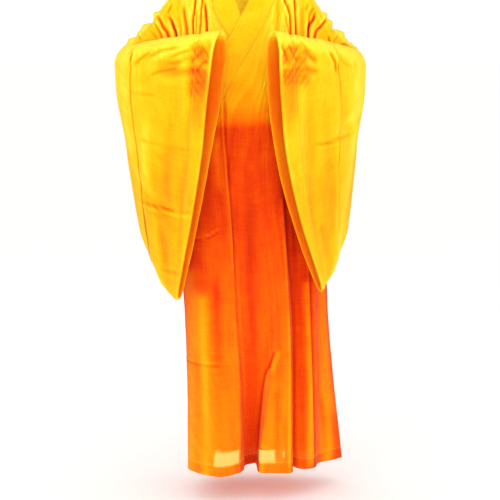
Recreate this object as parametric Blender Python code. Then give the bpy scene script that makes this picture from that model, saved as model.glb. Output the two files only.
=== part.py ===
"""Wide-sleeved cross-over robe, worn with the arms bent, as thin cloth walls.

Metres, +Z up. The wearer faces -Y and the wearer's left is +X. The origin is level with
the sides of the neck, on the body's middle line. Every panel is a wall built on one
surface that is worked out from short tables of sections and folds.
"""
from collections import namedtuple
import math

import bpy
import numpy as np

# ---- driving sizes -------------------------------------------------------------------

WALL = 0.0016  # cloth panels
BAND_WALL = 0.0022  # folded bands
SEAM_GAP = 0.0006  # between pieces that are sewn edge to edge
LAYER_GAP = 0.0080  # from the outer front's middle to the under front's
HEM = -1.313  # height of the hem
WAIST = -0.42  # below this the skirt's folds begin
BAND_LIFT = 0.0036  # from a panel's middle to the middle of a band that lies on it
BAND_LAP = 0.009  # how far a panel runs on under the band
SECTION_POWER = 0.84  # 1 gives an ellipse, less a squarer section
CUFF_BAND = 0.075  # share of the sleeve's length that the cuff band takes
ARMHOLE_TOP = -0.052
ARMHOLE_BOTTOM = -0.420
ARMHOLE_REACH = 0.070  # forwards and backwards of the middle plane
ARMHOLE_LIP = 0.0005  # the rim's points keep this far inside the armhole's ends
ARMHOLE_BLEND = 0.14  # share of the sleeve's length that turns into its own rings
BODY_MIDDLE_Y = 0.02  # the under layers are set in towards this line

# ---- colours, as linear values -------------------------------------------------------

Finish = namedtuple("Finish", "name colour roughness")
YELLOW = Finish("saffron_yellow_cotton", (0.98, 0.55, 0.01), 0.85)
ORANGE = Finish("saffron_orange_cotton", (0.95, 0.16, 0.01), 0.85)

# ---- sections of the body above the waist, from the neck down -------------------------

Section = namedtuple("Section", "z half_width front back shift")
TORSO = (
    Section(0.000, 0.080, 0.034, 0.064, 0.000),
    Section(-0.015, 0.104, 0.058, 0.078, 0.000),
    Section(-0.030, 0.128, 0.075, 0.087, 0.000),
    Section(-0.052, 0.157, 0.090, 0.094, 0.000),
    Section(-0.080, 0.163, 0.102, 0.099, 0.000),
    Section(-0.140, 0.167, 0.117, 0.103, 0.000),
    Section(-0.250, 0.172, 0.133, 0.107, 0.001),
    Section(-0.420, 0.170, 0.140, 0.110, 0.003),
)

# ---- fold lines that run down the skirt: x at four heights, y at three ----------------

HIP = -0.62
KNEE = -0.95
Fold = namedtuple("Fold", "name waist_x hip_x knee_x hem_x hip_y knee_y hem_y")
FRONT_FOLDS = (
    Fold("right_seam", -0.167, -0.165, -0.147, -0.136, 0.000, -0.005, -0.015),
    Fold("right_edge", -0.156, -0.156, -0.143, -0.1375, -0.070, -0.080, -0.090),
    Fold("left_crown_outer", -0.124, -0.122, -0.104, -0.092, -0.118, -0.148, -0.160),
    Fold("left_crown", -0.086, -0.080, -0.067, -0.0545, -0.138, -0.165, -0.180),
    Fold("left_crown_inner", -0.062, -0.048, -0.028, -0.019, -0.148, -0.160, -0.155),
    Fold("left_fold_edge", -0.048, -0.030, -0.007, 0.003, -0.152, -0.148, -0.1165),
    Fold("valley_wall", -0.034, -0.014, 0.004, 0.0075, -0.146, -0.130, -0.062),
    Fold("valley_floor_inner", -0.008, 0.012, 0.026, 0.0246, -0.146, -0.118, -0.034),
    Fold("valley_floor_outer", 0.024, 0.040, 0.056, 0.0365, -0.147, -0.116, -0.029),
    Fold("middle_wall", 0.046, 0.062, 0.076, 0.0406, -0.149, -0.128, -0.098),
    Fold("middle_edge", 0.060, 0.074, 0.088, 0.0465, -0.151, -0.142, -0.132),
    Fold("middle_crown", 0.076, 0.088, 0.108, 0.085, -0.152, -0.152, -0.141),
    Fold("middle_crease", 0.092, 0.102, 0.126, 0.1245, -0.147, -0.146, -0.140),
    Fold("deep_wall", 0.100, 0.109, 0.130, 0.1275, -0.112, -0.110, -0.075),
    Fold("deep_floor", 0.110, 0.122, 0.136, 0.1325, -0.092, -0.085, -0.062),
    Fold("right_rise", 0.120, 0.140, 0.150, 0.147, -0.086, -0.090, -0.085),
    Fold("right_crown", 0.134, 0.160, 0.176, 0.171, -0.086, -0.100, -0.094),
    Fold("right_fold_edge", 0.147, 0.176, 0.189, 0.189, -0.074, -0.086, -0.078),
    Fold("side_step", 0.158, 0.188, 0.200, 0.205, -0.050, -0.042, -0.022),
    Fold("side_panel", 0.165, 0.202, 0.217, 0.236, -0.026, -0.016, 0.006),
    Fold("left_seam", 0.173, 0.210, 0.229, 0.268, 0.004, 0.018, 0.040),
)
BACK_FOLDS = (
    Fold("left_seam", 0.173, 0.210, 0.229, 0.268, 0.004, 0.018, 0.040),
    Fold("left_turn", 0.166, 0.198, 0.214, 0.250, 0.046, 0.064, 0.084),
    Fold("left_crown", 0.136, 0.160, 0.172, 0.204, 0.092, 0.112, 0.126),
    Fold("left_valley", 0.102, 0.118, 0.134, 0.160, 0.108, 0.114, 0.112),
    Fold("left_inner_crown", 0.068, 0.080, 0.094, 0.114, 0.122, 0.140, 0.156),
    Fold("middle_valley", 0.026, 0.036, 0.048, 0.066, 0.120, 0.122, 0.122),
    Fold("middle_crown", -0.014, -0.008, 0.004, 0.022, 0.126, 0.144, 0.160),
    Fold("right_valley", -0.056, -0.054, -0.042, -0.026, 0.118, 0.120, 0.122),
    Fold("right_inner_crown", -0.096, -0.094, -0.082, -0.070, 0.118, 0.134, 0.148),
    Fold("right_outer_valley", -0.130, -0.128, -0.112, -0.102, 0.092, 0.096, 0.098),
    Fold("right_crown", -0.156, -0.155, -0.136, -0.126, 0.058, 0.068, 0.080),
    Fold("right_seam", -0.167, -0.165, -0.147, -0.136, 0.000, -0.005, -0.015),
)

# ---- neckline: the bands' two edges, seen from the front ------------------------------

NeckEdge = namedtuple("NeckEdge", "z seam_x free_x")
OVER_NECK = (
    NeckEdge(0.000, 0.079, 0.058),
    NeckEdge(-0.050, 0.083, 0.043),
    NeckEdge(-0.106, 0.082, 0.020),
    NeckEdge(-0.143, 0.068, 0.000),
    NeckEdge(-0.179, 0.050, -0.020),
    NeckEdge(-0.324, -0.034, -0.104),
    NeckEdge(-0.404, -0.080, -0.150),
    NeckEdge(-0.527, -0.150, -0.150),
)
UNDER_NECK = (
    NeckEdge(0.000, -0.079, -0.058),
    NeckEdge(-0.050, -0.082, -0.039),
    NeckEdge(-0.106, -0.080, -0.016),
    NeckEdge(-0.143, -0.068, 0.000),
    NeckEdge(-0.180, -0.041, 0.020),
    NeckEdge(-0.324, 0.034, 0.088),
    NeckEdge(-0.345, 0.044, 0.100),
    NeckEdge(-0.450, 0.100, 0.100),
)
OVER_CORNER = -0.527  # where the outer band's seam meets the outer front's free edge
UNDER_CORNER = -0.450
UNDER_EDGE_TOP = 0.100  # the under front's free edge at its top corner
UNDER_EDGE_HEM = -0.078  # the under front's free edge at the hem
UNDER_EDGE_CURVE = 0.8
PANEL_TOP = -0.004
OVER_BAND_END = -0.515
UNDER_BAND_END = -0.440
NECK_JOIN = -0.006  # height at which the lapels meet the nape
NECK_FREE_SIDE = 0.062  # the band's free edge beside the neck, from the middle plane
NECK_FREE_BACK = 0.056
NAPE_DROP = 0.008  # how far the band's seam dips behind the neck
NAPE_RISE = 0.040  # how far the band stands up behind the neck
NECK_TURN = 0.105  # the band turns from flat to standing over this height
NECK_SINK = 0.030  # the under lapel goes behind the outer one over this height

# ---- sleeves: upright rings from armhole to cuff --------------------------------------

Ring = namedtuple("Ring", "at top_x top_y top_z low_x low_y low_z heading arm hang bulge lean")
RIGHT_SLEEVE = (
    Ring(0.00, -0.160, 0.000, -0.052, -0.174, 0.000, -0.420, 180, 0.070, 0.050, 0.000, 0.000),
    Ring(0.14, -0.202, 0.000, -0.116, -0.196, 0.000, -0.500, 180, 0.062, 0.040, 0.000, 0.000),
    Ring(0.28, -0.250, -0.004, -0.167, -0.226, -0.004, -0.590, 188, 0.054, 0.032, 0.002, 0.000),
    Ring(0.40, -0.284, -0.016, -0.206, -0.250, -0.016, -0.655, 215, 0.046, 0.026, 0.004, 0.000),
    Ring(0.49, -0.287, -0.048, -0.222, -0.250, -0.046, -0.708, 262, 0.040, 0.022, 0.008, 0.000),
    Ring(0.58, -0.260, -0.092, -0.214, -0.230, -0.080, -0.765, 305, 0.038, 0.022, 0.010, 0.000),
    Ring(0.70, -0.208, -0.144, -0.203, -0.203, -0.118, -0.820, 316, 0.036, 0.022, 0.008, 0.000),
    Ring(0.84, -0.136, -0.206, -0.194, -0.177, -0.155, -0.850, 318, 0.030, 0.016, 0.000, 0.002),
    Ring(1.00, -0.047, -0.266, -0.186, -0.158, -0.185, -0.852, 318, 0.023, 0.0125, 0.004, 0.017),
)
LEFT_SLEEVE = (
    Ring(0.00, 0.160, 0.000, -0.052, 0.174, 0.000, -0.420, 0, 0.070, 0.050, 0.000, 0.000),
    Ring(0.14, 0.198, 0.000, -0.116, 0.198, 0.000, -0.500, 0, 0.062, 0.040, 0.000, 0.000),
    Ring(0.28, 0.244, -0.004, -0.170, 0.230, -0.004, -0.590, -8, 0.054, 0.032, 0.002, 0.000),
    Ring(0.40, 0.277, -0.016, -0.212, 0.262, -0.016, -0.655, -35, 0.046, 0.026, 0.003, 0.000),
    Ring(0.49, 0.280, -0.048, -0.226, 0.264, -0.046, -0.705, -82, 0.040, 0.022, 0.004, 0.000),
    Ring(0.58, 0.256, -0.092, -0.218, 0.247, -0.080, -0.757, -125, 0.038, 0.022, 0.008, 0.000),
    Ring(0.70, 0.210, -0.144, -0.206, 0.232, -0.118, -0.795, -136, 0.036, 0.022, 0.008, 0.000),
    Ring(0.84, 0.148, -0.206, -0.196, 0.214, -0.155, -0.820, -138, 0.030, 0.019, 0.002, 0.014),
    Ring(1.00, 0.078, -0.266, -0.186, 0.201, -0.182, -0.832, -138, 0.021, 0.017, 0.009, 0.056),
)
RIGHT_ELBOW_SEAM = 0.600  # how far along each sleeve its upright seam is
LEFT_ELBOW_SEAM = 0.685
ARM_SHARE = 0.20  # share of a ring's height that the arm fills out
ARM_FALL = 0.55  # share of a ring's height by which it has thinned to the hanging part
LOW_ROUND = 0.05  # share of a ring's height that rounds its lower edge
LOW_THIN = 0.55  # how much thinner the hanging part is at its lower edge

# creases pressed into a sleeve, from (at, drop) to (at, drop); the outer layer is the one
# outside the bend of the arm, and the inner layer faces the crook of the elbow
Crease = namedtuple("Crease", "layer at drop to_at to_drop reach depth")
OUTER = 1
INNER = -1
RIGHT_CREASES = (
    Crease(OUTER, 0.52, 0.62, 0.98, 0.70, 0.035, 0.006),
    Crease(OUTER, 0.55, 0.13, 0.80, 0.05, 0.030, 0.006),
    Crease(OUTER, 0.60, 0.19, 0.90, 0.11, 0.028, 0.005),
    Crease(INNER, 0.13, 0.02, 0.04, 0.42, 0.026, 0.016),
    Crease(INNER, 0.22, 0.04, 0.11, 0.36, 0.030, 0.014),
    Crease(INNER, 0.33, 0.04, 0.20, 0.28, 0.026, 0.010),
    Crease(OUTER, 0.16, 0.04, 0.06, 0.50, 0.034, 0.010),
    Crease(OUTER, 0.32, 0.10, 0.22, 0.60, 0.036, 0.010),
)
LEFT_CREASES = (
    Crease(OUTER, 0.50, 0.33, 0.76, 0.42, 0.035, 0.006),
    Crease(OUTER, 0.62, 0.14, 0.90, 0.06, 0.030, 0.005),
    Crease(OUTER, 0.62, 0.55, 0.95, 0.50, 0.030, 0.004),
    Crease(INNER, 0.12, 0.02, 0.03, 0.44, 0.028, 0.016),
    Crease(INNER, 0.22, 0.03, 0.08, 0.34, 0.028, 0.012),
    Crease(INNER, 0.36, 0.05, 0.22, 0.26, 0.026, 0.010),
    Crease(OUTER, 0.18, 0.04, 0.09, 0.54, 0.034, 0.010),
    Crease(OUTER, 0.30, 0.08, 0.21, 0.62, 0.036, 0.009),
)

# creases that hang from the shoulders, from (x, z) to (x, z)
ChestCrease = namedtuple("ChestCrease", "at drop to_at to_drop reach depth")
CHEST_CREASES = (
    ChestCrease(-0.108, -0.040, -0.060, -0.215, 0.008, 0.006),
    ChestCrease(-0.106, -0.045, -0.092, -0.250, 0.008, 0.007),
    ChestCrease(-0.123, -0.045, -0.121, -0.280, 0.010, 0.010),
    ChestCrease(-0.146, -0.070, -0.138, -0.270, 0.010, 0.007),
    ChestCrease(0.096, -0.020, 0.128, -0.270, 0.008, 0.008),
    ChestCrease(0.126, -0.040, 0.142, -0.290, 0.011, 0.010),
)
BACK_CREASES = (
    ChestCrease(-0.118, -0.050, -0.096, -0.330, 0.014, 0.008),
    ChestCrease(-0.070, -0.070, -0.050, -0.390, 0.016, 0.006),
    ChestCrease(0.062, -0.060, 0.056, -0.360, 0.015, 0.007),
    ChestCrease(0.120, -0.045, 0.104, -0.350, 0.014, 0.009),
)

# ---- how finely each panel is divided --------------------------------------------------

SKIRT_ROWS = 15
CHEST_ROWS = 12
FRONT_SPANS = 2  # between one fold line and the next
BACK_SPANS = 3
SLEEVE_RINGS = 27  # of both parts of one sleeve together
RING_POINTS = 26
BAND_COLUMNS = 4
OVER_BAND_STEPS = 20
NAPE_STEPS = 13
UNDER_BAND_STEPS = 17
CUFF_RINGS = 3
UNDER_COLUMNS = 19
UNDER_RAMP = 0.9  # fold lines over which the under front goes from its seam to its own layer
NORMAL_REACH = 0.3  # fold lines to each side over which a surface's direction is measured
NORMAL_DROP = 0.004  # and the height above and below
RING_REACH = 0.2  # share of a ring's point spacing over which a sleeve's direction is measured
CUFF_REACH = 0.01  # and the share of the sleeve's length


def smooth_through(keys, values, at):
    """Values on a smooth curve that passes through values, where keys holds their places."""
    keys = np.asarray(keys, float)
    values = np.asarray(values, float)
    at = np.clip(at, keys[0], keys[-1])
    span = np.clip(np.searchsorted(keys, at) - 1, 0, len(keys) - 2)
    step = keys[span + 1] - keys[span]
    slopes = np.gradient(values, keys, axis=0, edge_order=1)
    s = (at - keys[span]) / step
    return (
        (2 * s**3 - 3 * s**2 + 1) * values[span]
        + (s**3 - 2 * s**2 + s) * step * slopes[span]
        + (3 * s**2 - 2 * s**3) * values[span + 1]
        + (s**3 - s**2) * step * slopes[span + 1]
    )


def column(rows, name):
    """One named column of a table, as an array."""
    return np.array([getattr(row, name) for row in rows], float)


# ---- the body's surface ----------------------------------------------------------------


def crease_depth(creases, at, drop):
    """How far the cloth is pressed in at a place, by the creases of one table."""
    depth = 0.0
    for crease in creases:
        run = np.array((crease.to_at - crease.at, crease.to_drop - crease.drop))
        offset = np.array((at - crease.at, drop - crease.drop))
        share = float(np.clip(offset @ run / (run @ run), 0, 1))
        away = float(np.linalg.norm(offset - share * run)) / crease.reach
        depth += crease.depth * math.sin(math.pi * share) * math.exp(-away * away)
    return depth


def torso_size(name, z):
    """A torso size at a height, from the table of sections."""
    return smooth_through(-column(TORSO, "z"), column(TORSO, name), -z)


def torso_line(folds, z):
    """The plan curve's points above the waist, one for each fold line."""
    waist_half = torso_size("half_width", WAIST)
    waist_shift = torso_size("shift", WAIST)
    reach = np.clip((column(folds, "waist_x") - waist_shift) / waist_half, -1, 1)
    turn = np.arcsin(np.sign(reach) * np.abs(reach) ** (1 / SECTION_POWER))
    x = torso_size("shift", z) + torso_size("half_width", z) * (
        np.sign(turn) * np.abs(np.sin(turn)) ** SECTION_POWER
    )
    depth = np.abs(np.cos(turn)) ** SECTION_POWER
    if folds is FRONT_FOLDS:
        return x, -torso_size("front", z) * depth
    return x, torso_size("back", z) * depth


def skirt_line(folds, z):
    """The plan curve's points below the waist, one for each fold line."""
    waist_y = torso_line(folds, WAIST)[1]
    levels = (0, WAIST - HIP, WAIST - KNEE, WAIST - HEM)
    xs = [column(folds, name) for name in ("waist_x", "hip_x", "knee_x", "hem_x")]
    ys = [waist_y] + [column(folds, name) for name in ("hip_y", "knee_y", "hem_y")]
    drop = WAIST - z
    return smooth_through(levels, xs, drop), smooth_through(levels, ys, drop)


def plan_line(folds, z):
    """The plan curve's points at any height."""
    return torso_line(folds, z) if z >= WAIST else skirt_line(folds, z)


def fold_spacing(folds):
    """Distances along the knee-high plan curve at which the fold lines stand."""
    x, y = skirt_line(folds, KNEE)
    return np.concatenate(((0,), np.cumsum(np.hypot(np.diff(x), np.diff(y)))))


def surface_point(folds, place, z):
    """A point of the front or back surface; place counts fold lines from the first."""
    spacing = fold_spacing(folds)
    along = np.interp(place, np.arange(len(folds)), spacing)
    plan = np.column_stack(plan_line(folds, z))
    x, y = smooth_through(spacing, plan, along)
    if folds is FRONT_FOLDS:
        return np.array((x, y + crease_depth(CHEST_CREASES, x, z), z))
    return np.array((x, y - crease_depth(BACK_CREASES, x, z), z))


def place_at_x(folds, x, z):
    """Where along the fold lines the surface has this x."""
    xs = plan_line(folds, z)[0]
    places = np.arange(len(folds))
    order = np.argsort(xs)
    return float(np.interp(x, xs[order], places[order]))


def armhole_reach(z):
    """How far the armhole stands forwards and backwards of the middle plane at a height."""
    middle = (ARMHOLE_TOP + ARMHOLE_BOTTOM) / 2
    half = (ARMHOLE_TOP - ARMHOLE_BOTTOM) / 2
    return ARMHOLE_REACH * math.sqrt(max(0.0, 1 - ((z - middle) / half) ** 2))


def side_place(folds, side, z):
    """Where a panel ends at one side: at the armhole, or below it at the side seam."""
    last = len(folds) - 1
    first_side = 1 if folds is BACK_FOLDS else -1
    end = 0 if side == first_side else last
    reach = armhole_reach(z)
    if reach == 0:
        return float(end)
    y = np.abs(plan_line(folds, z)[1])
    half = np.arange(last // 2 + 1) if end == 0 else np.arange(last, last // 2 - 1, -1)
    return float(np.interp(reach, y[half], half))


def surface_normal(folds, place, z):
    """Outward direction of the front or back surface."""
    last = len(folds) - 1
    along = surface_point(folds, min(place + NORMAL_REACH, last), z)
    along = along - surface_point(folds, max(place - NORMAL_REACH, 0), z)
    up = surface_point(folds, place, min(z + NORMAL_DROP, 0))
    up = up - surface_point(folds, place, z - NORMAL_DROP)
    normal = np.cross(along, up)
    return normal / np.linalg.norm(normal)


def set_in(folds, place, z, distance):
    """A surface point moved level towards the middle of the body."""
    point = surface_point(folds, place, z)
    inward = np.array((torso_size("shift", max(z, WAIST)), BODY_MIDDLE_Y, z)) - point
    return point + inward * distance / np.linalg.norm(inward)


# ---- meshes ----------------------------------------------------------------------------


def material_for(finish):
    """One cotton finish."""
    made = bpy.data.materials.get(finish.name)
    if made:
        return made
    made = bpy.data.materials.new(finish.name)
    made.use_nodes = True
    shader = made.node_tree.nodes["Principled BSDF"]
    shader.inputs["Base Color"].default_value = (*finish.colour, 1)
    shader.inputs["Roughness"].default_value = finish.roughness
    shader.inputs["Metallic"].default_value = 0
    return made


def cloth_wall(name, grid, thickness, finish, closed=False):
    """A thin wall on a grid of points, rows by columns; closed joins the last column to the first."""
    rows, columns = len(grid), len(grid[0])
    points = [tuple(point) for row in grid for point in row]
    spans = columns if closed else columns - 1
    faces = []
    for row in range(rows - 1):
        for span in range(spans):
            after = (span + 1) % columns
            low, high = row * columns, (row + 1) * columns
            faces.append((low + span, low + after, high + after, high + span))
    mesh = bpy.data.meshes.new(name)
    mesh.from_pydata(points, [], faces)
    mesh.shade_smooth()
    piece = bpy.data.objects.new(name, mesh)
    bpy.context.scene.collection.objects.link(piece)
    piece.data.materials.append(material_for(finish))
    wall = piece.modifiers.new("wall", "SOLIDIFY")
    wall.thickness = thickness
    wall.offset = 0
    wall.use_rim = True
    return piece


def spaced(start, end, count):
    """Evenly spaced values from start to end."""
    return [start + (end - start) * i / (count - 1) for i in range(count)]


# ---- panels ----------------------------------------------------------------------------


def neck_x(edges, name, z):
    """x of one edge of a band at a height."""
    return float(np.interp(-z, -column(edges, "z"), column(edges, name)))


def panel_heights():
    """Heights of a panel's rows from the hem up, closest at the waist and the shoulder."""
    skirt = spaced(HEM, WAIST, SKIRT_ROWS)[:-1]
    turns = spaced(0, math.pi, CHEST_ROWS)
    return skirt + [WAIST + (PANEL_TOP - WAIST) * (1 - math.cos(turn)) / 2 for turn in turns]


def panel_places(start, end, folds, first_line=0):
    """Places across a panel, on the fold lines wherever both its ends are fold lines."""
    last = len(folds) - 1
    spans = FRONT_SPANS if folds is FRONT_FOLDS else BACK_SPANS
    lines = np.linspace(first_line, last, spans * (last - first_line) + 1)
    return start + (lines - first_line) * (end - start) / (last - first_line)


def build_front_over():
    """The outer front, from its free edge at the wearer's right to the left side seam."""
    grid = []
    for z in panel_heights():
        start = 1.0
        if z > OVER_CORNER:
            neck = place_at_x(FRONT_FOLDS, neck_x(OVER_NECK, "seam_x", z) - BAND_LAP, z)
            start = max(start, neck)
        end = side_place(FRONT_FOLDS, 1, z)
        grid.append([surface_point(FRONT_FOLDS, place, z)
                     for place in panel_places(start, end, FRONT_FOLDS, 1)])
    return cloth_wall("front_over", grid, WALL, ORANGE)


def under_edge(z):
    """x of the under front's free edge, which slants back to the wearer's right at the hem."""
    if z > UNDER_CORNER:
        return min(UNDER_EDGE_TOP, neck_x(UNDER_NECK, "seam_x", z) + BAND_LAP)
    down = ((UNDER_CORNER - z) / (UNDER_CORNER - HEM)) ** UNDER_EDGE_CURVE
    return UNDER_EDGE_TOP + (UNDER_EDGE_HEM - UNDER_EDGE_TOP) * down


def build_front_under():
    """The under front, from the right side seam to its free edge behind the outer front."""
    grid = []
    for z in panel_heights():
        start = side_place(FRONT_FOLDS, -1, z)
        end = place_at_x(FRONT_FOLDS, under_edge(z), z)
        row = []
        for place in spaced(start, end, UNDER_COLUMNS):
            behind = min(1.0, (place - start) / UNDER_RAMP)
            row.append(set_in(FRONT_FOLDS, place, z, LAYER_GAP * behind))
        grid.append(row)
    return cloth_wall("front_under", grid, WALL, ORANGE)


def build_back():
    """The back, from the left side seam to the right one, up to the back neck."""
    grid = []
    for z in panel_heights():
        start = side_place(BACK_FOLDS, 1, z)
        end = side_place(BACK_FOLDS, -1, z)
        grid.append([surface_point(BACK_FOLDS, place, z) + (0, 2 * SEAM_GAP, 0)
                     for place in panel_places(start, end, BACK_FOLDS)])
    return cloth_wall("back", grid, WALL, ORANGE)


# ---- collar ----------------------------------------------------------------------------


def chest_row(edges, z, sink):
    """Points across a band at one height on the chest, from its seam to its free edge."""
    rise = neck_rise(z)
    seam, free = neck_x(edges, "seam_x", z), neck_x(edges, "free_x", z)
    row = []
    for share in spaced(0, 1, BAND_COLUMNS):
        place = place_at_x(FRONT_FOLDS, seam + (free - seam) * share, z)
        point = set_in(FRONT_FOLDS, place, z, sink)
        lift = BAND_LIFT * surface_normal(FRONT_FOLDS, place, z)
        row.append(point + lift + np.array((0, 0, rise * share)))
    return row


def nape_row(turn):
    """Points across the band where it stands up round the back of the neck."""
    place = turn / math.pi * (len(BACK_FOLDS) - 1)
    z = PANEL_TOP - NAPE_DROP * math.sin(turn)
    seam = surface_point(BACK_FOLDS, place, z)
    seam = seam + BAND_LIFT * surface_normal(BACK_FOLDS, place, z)
    seam = seam + np.array((0, 0, BAND_LIFT * abs(math.cos(turn))))
    free = np.array((NECK_FREE_SIDE * math.cos(turn), NECK_FREE_BACK * math.sin(turn), NAPE_RISE))
    return [seam + (free - seam) * share for share in spaced(0, 1, BAND_COLUMNS)]


def neck_rise(z):
    """How much the band's free edge is lifted at a height, as it turns up beside the neck."""
    near = max(0.0, 1 + z / NECK_TURN)
    return NAPE_RISE * near * near * (3 - 2 * near)


def build_collar():
    """One long band: up the outer front, round the neck and down the under front."""
    grid = []
    for z in spaced(OVER_BAND_END, NECK_JOIN, OVER_BAND_STEPS):
        grid.append(chest_row(OVER_NECK, z, 0))
    for turn in spaced(0, math.pi, NAPE_STEPS)[1:-1]:
        grid.append(nape_row(turn))
    for z in spaced(NECK_JOIN, UNDER_BAND_END, UNDER_BAND_STEPS):
        sunk = min(1.0, (NECK_JOIN - z) / NECK_SINK)
        grid.append(chest_row(UNDER_NECK, z, LAYER_GAP * sunk))
    return cloth_wall("collar", grid, BAND_WALL, YELLOW)


# ---- sleeves ---------------------------------------------------------------------------


def ring_width(drop, arm, hang):
    """Half the sleeve's thickness at a share of its height below the top."""
    fall = min(1.0, max(0.0, (drop - ARM_SHARE) / (ARM_FALL - ARM_SHARE)))
    width = arm + (hang - arm) * fall * fall * (3 - 2 * fall)
    if drop < ARM_SHARE / 2:
        width *= math.sqrt(max(0.0, 1 - (1 - drop / (ARM_SHARE / 2)) ** 2))
    if drop > ARM_FALL:
        width *= 1 - LOW_THIN * (drop - ARM_FALL) / (1 - ARM_FALL)
    if drop > 1 - LOW_ROUND:
        width *= math.sqrt(max(0.0, 1 - ((drop - 1 + LOW_ROUND) / LOW_ROUND) ** 2))
    return width


def sleeve_point(rings, creases, at, turn):
    """A point of a sleeve: at runs from armhole to cuff, turn once round from the top."""
    keys = column(rings, "at")
    size = {name: float(smooth_through(keys, column(rings, name), at)) for name in Ring._fields[1:]}
    drop = (1 - math.cos(2 * math.pi * turn)) / 2
    top = np.array((size["top_x"], size["top_y"], size["top_z"]))
    low = np.array((size["low_x"], size["low_y"], size["low_z"]))
    heading = math.radians(size["heading"])
    forward = np.array((math.cos(heading), math.sin(heading), 0))
    across = np.array((forward[1], -forward[0], 0))
    side = 1 if turn < 0.5 else -1
    width = ring_width(drop, size["arm"], size["hang"])
    outer_side = -1 if rings is LEFT_SLEEVE else 1
    layer = [crease for crease in creases if crease.layer == side * outer_side]
    pressed = crease_depth(layer, at, drop)
    swell = across * outer_side * size["bulge"] + forward * size["lean"]
    centre = top + (low - top) * drop + swell * math.sin(math.pi * drop)
    return centre + across * side * max(0.0, width - pressed)


def armhole_point(side, turn):
    """A point of the armhole's rim, on the body's surface."""
    height = (1 + math.cos(2 * math.pi * turn)) / 2
    z = ARMHOLE_BOTTOM + (ARMHOLE_TOP - ARMHOLE_BOTTOM) * height
    z = min(max(z, ARMHOLE_BOTTOM + ARMHOLE_LIP), ARMHOLE_TOP - ARMHOLE_LIP)
    front = (turn < 0.5) == (side > 0)
    folds = FRONT_FOLDS if front else BACK_FOLDS
    return surface_point(folds, side_place(folds, side, z), z)


def sleeve_grid(rings, creases, start, end, count):
    """Rings of points from one share of the sleeve's length to another."""
    side = 1 if rings is LEFT_SLEEVE else -1
    grid = []
    for at in spaced(start, end, count):
        blend = min(1.0, at / ARMHOLE_BLEND)
        blend = blend * blend * (3 - 2 * blend)
        ring = []
        for i in range(RING_POINTS):
            turn = i / RING_POINTS
            point = sleeve_point(rings, creases, at, turn)
            if blend < 1:
                rim = armhole_point(side, turn) + np.array((side * (WALL + 2 * SEAM_GAP), 0, 0))
                point = rim + (point - rim) * blend
            ring.append(point)
        grid.append(ring)
    return grid


def cuff_grid(rings, creases):
    """Rings of points just outside the sleeve's own, along its mouth."""
    grid = []
    for at in spaced(1 - CUFF_BAND, 1, CUFF_RINGS):
        ring = []
        for i in range(RING_POINTS):
            point = sleeve_point(rings, creases, at, i / RING_POINTS)
            before = sleeve_point(rings, creases, at, (i - RING_REACH) / RING_POINTS % 1)
            after = sleeve_point(rings, creases, at, (i + RING_REACH) / RING_POINTS)
            along = sleeve_point(rings, creases, at - CUFF_REACH, i / RING_POINTS) - point
            normal = np.cross(after - before, along)
            ring.append(point + normal * BAND_LIFT / np.linalg.norm(normal))
        grid.append(ring)
    return grid


def build_sleeves():
    """Both sleeves, each an upper piece and a wide hanging piece with a band at its mouth."""
    for side, rings, creases, seam in (("right", RIGHT_SLEEVE, RIGHT_CREASES, RIGHT_ELBOW_SEAM),
                                       ("left", LEFT_SLEEVE, LEFT_CREASES, LEFT_ELBOW_SEAM)):
        cloth_wall(f"cuff_band_{side}", cuff_grid(rings, creases), WALL, YELLOW, closed=True)
        count = round(SLEEVE_RINGS * seam)
        upper = sleeve_grid(rings, creases, 0, seam - 2 * SEAM_GAP, count)
        lower = sleeve_grid(rings, creases, seam + 2 * SEAM_GAP, 1, SLEEVE_RINGS - count)
        cloth_wall(f"upper_sleeve_{side}", upper, WALL, YELLOW, closed=True)
        cloth_wall(f"sleeve_{side}", lower, WALL, YELLOW, closed=True)


def main():
    """Build every piece of the robe."""
    for old in list(bpy.data.objects):
        bpy.data.objects.remove(old, do_unlink=True)
    build_front_over()
    build_front_under()
    build_back()
    build_collar()
    build_sleeves()


main()
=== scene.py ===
"""Saffron cross-over robe with wide sleeves, worn with both arms bent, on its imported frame.

Metres, +Z up. The wearer faces -Y and the wearer's left is +X. The origin is level with
the sides of the neck. Each piece of cloth is one surface worked out from sections and
fold lines, pressed by creases drawn in front view, and then given its thickness.
"""
from dataclasses import dataclass, field
from enum import Enum
import logging
import math

import bpy
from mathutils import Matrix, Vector
import numpy as np


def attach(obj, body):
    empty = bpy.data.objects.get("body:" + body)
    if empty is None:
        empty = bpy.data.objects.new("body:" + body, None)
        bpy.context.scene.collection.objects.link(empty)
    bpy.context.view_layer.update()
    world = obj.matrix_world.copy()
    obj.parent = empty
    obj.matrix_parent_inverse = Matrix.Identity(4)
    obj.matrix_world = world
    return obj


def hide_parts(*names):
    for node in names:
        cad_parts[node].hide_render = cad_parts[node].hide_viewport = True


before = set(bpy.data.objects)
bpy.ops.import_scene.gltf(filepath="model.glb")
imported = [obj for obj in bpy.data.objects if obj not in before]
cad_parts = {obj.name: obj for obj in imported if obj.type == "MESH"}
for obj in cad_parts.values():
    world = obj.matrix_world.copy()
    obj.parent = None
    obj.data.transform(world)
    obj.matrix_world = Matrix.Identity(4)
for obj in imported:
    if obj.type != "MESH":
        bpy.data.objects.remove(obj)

LOG = logging.getLogger("robe")
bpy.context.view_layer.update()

# ---- sizes that the pieces share -------------------------------------------------------

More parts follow.
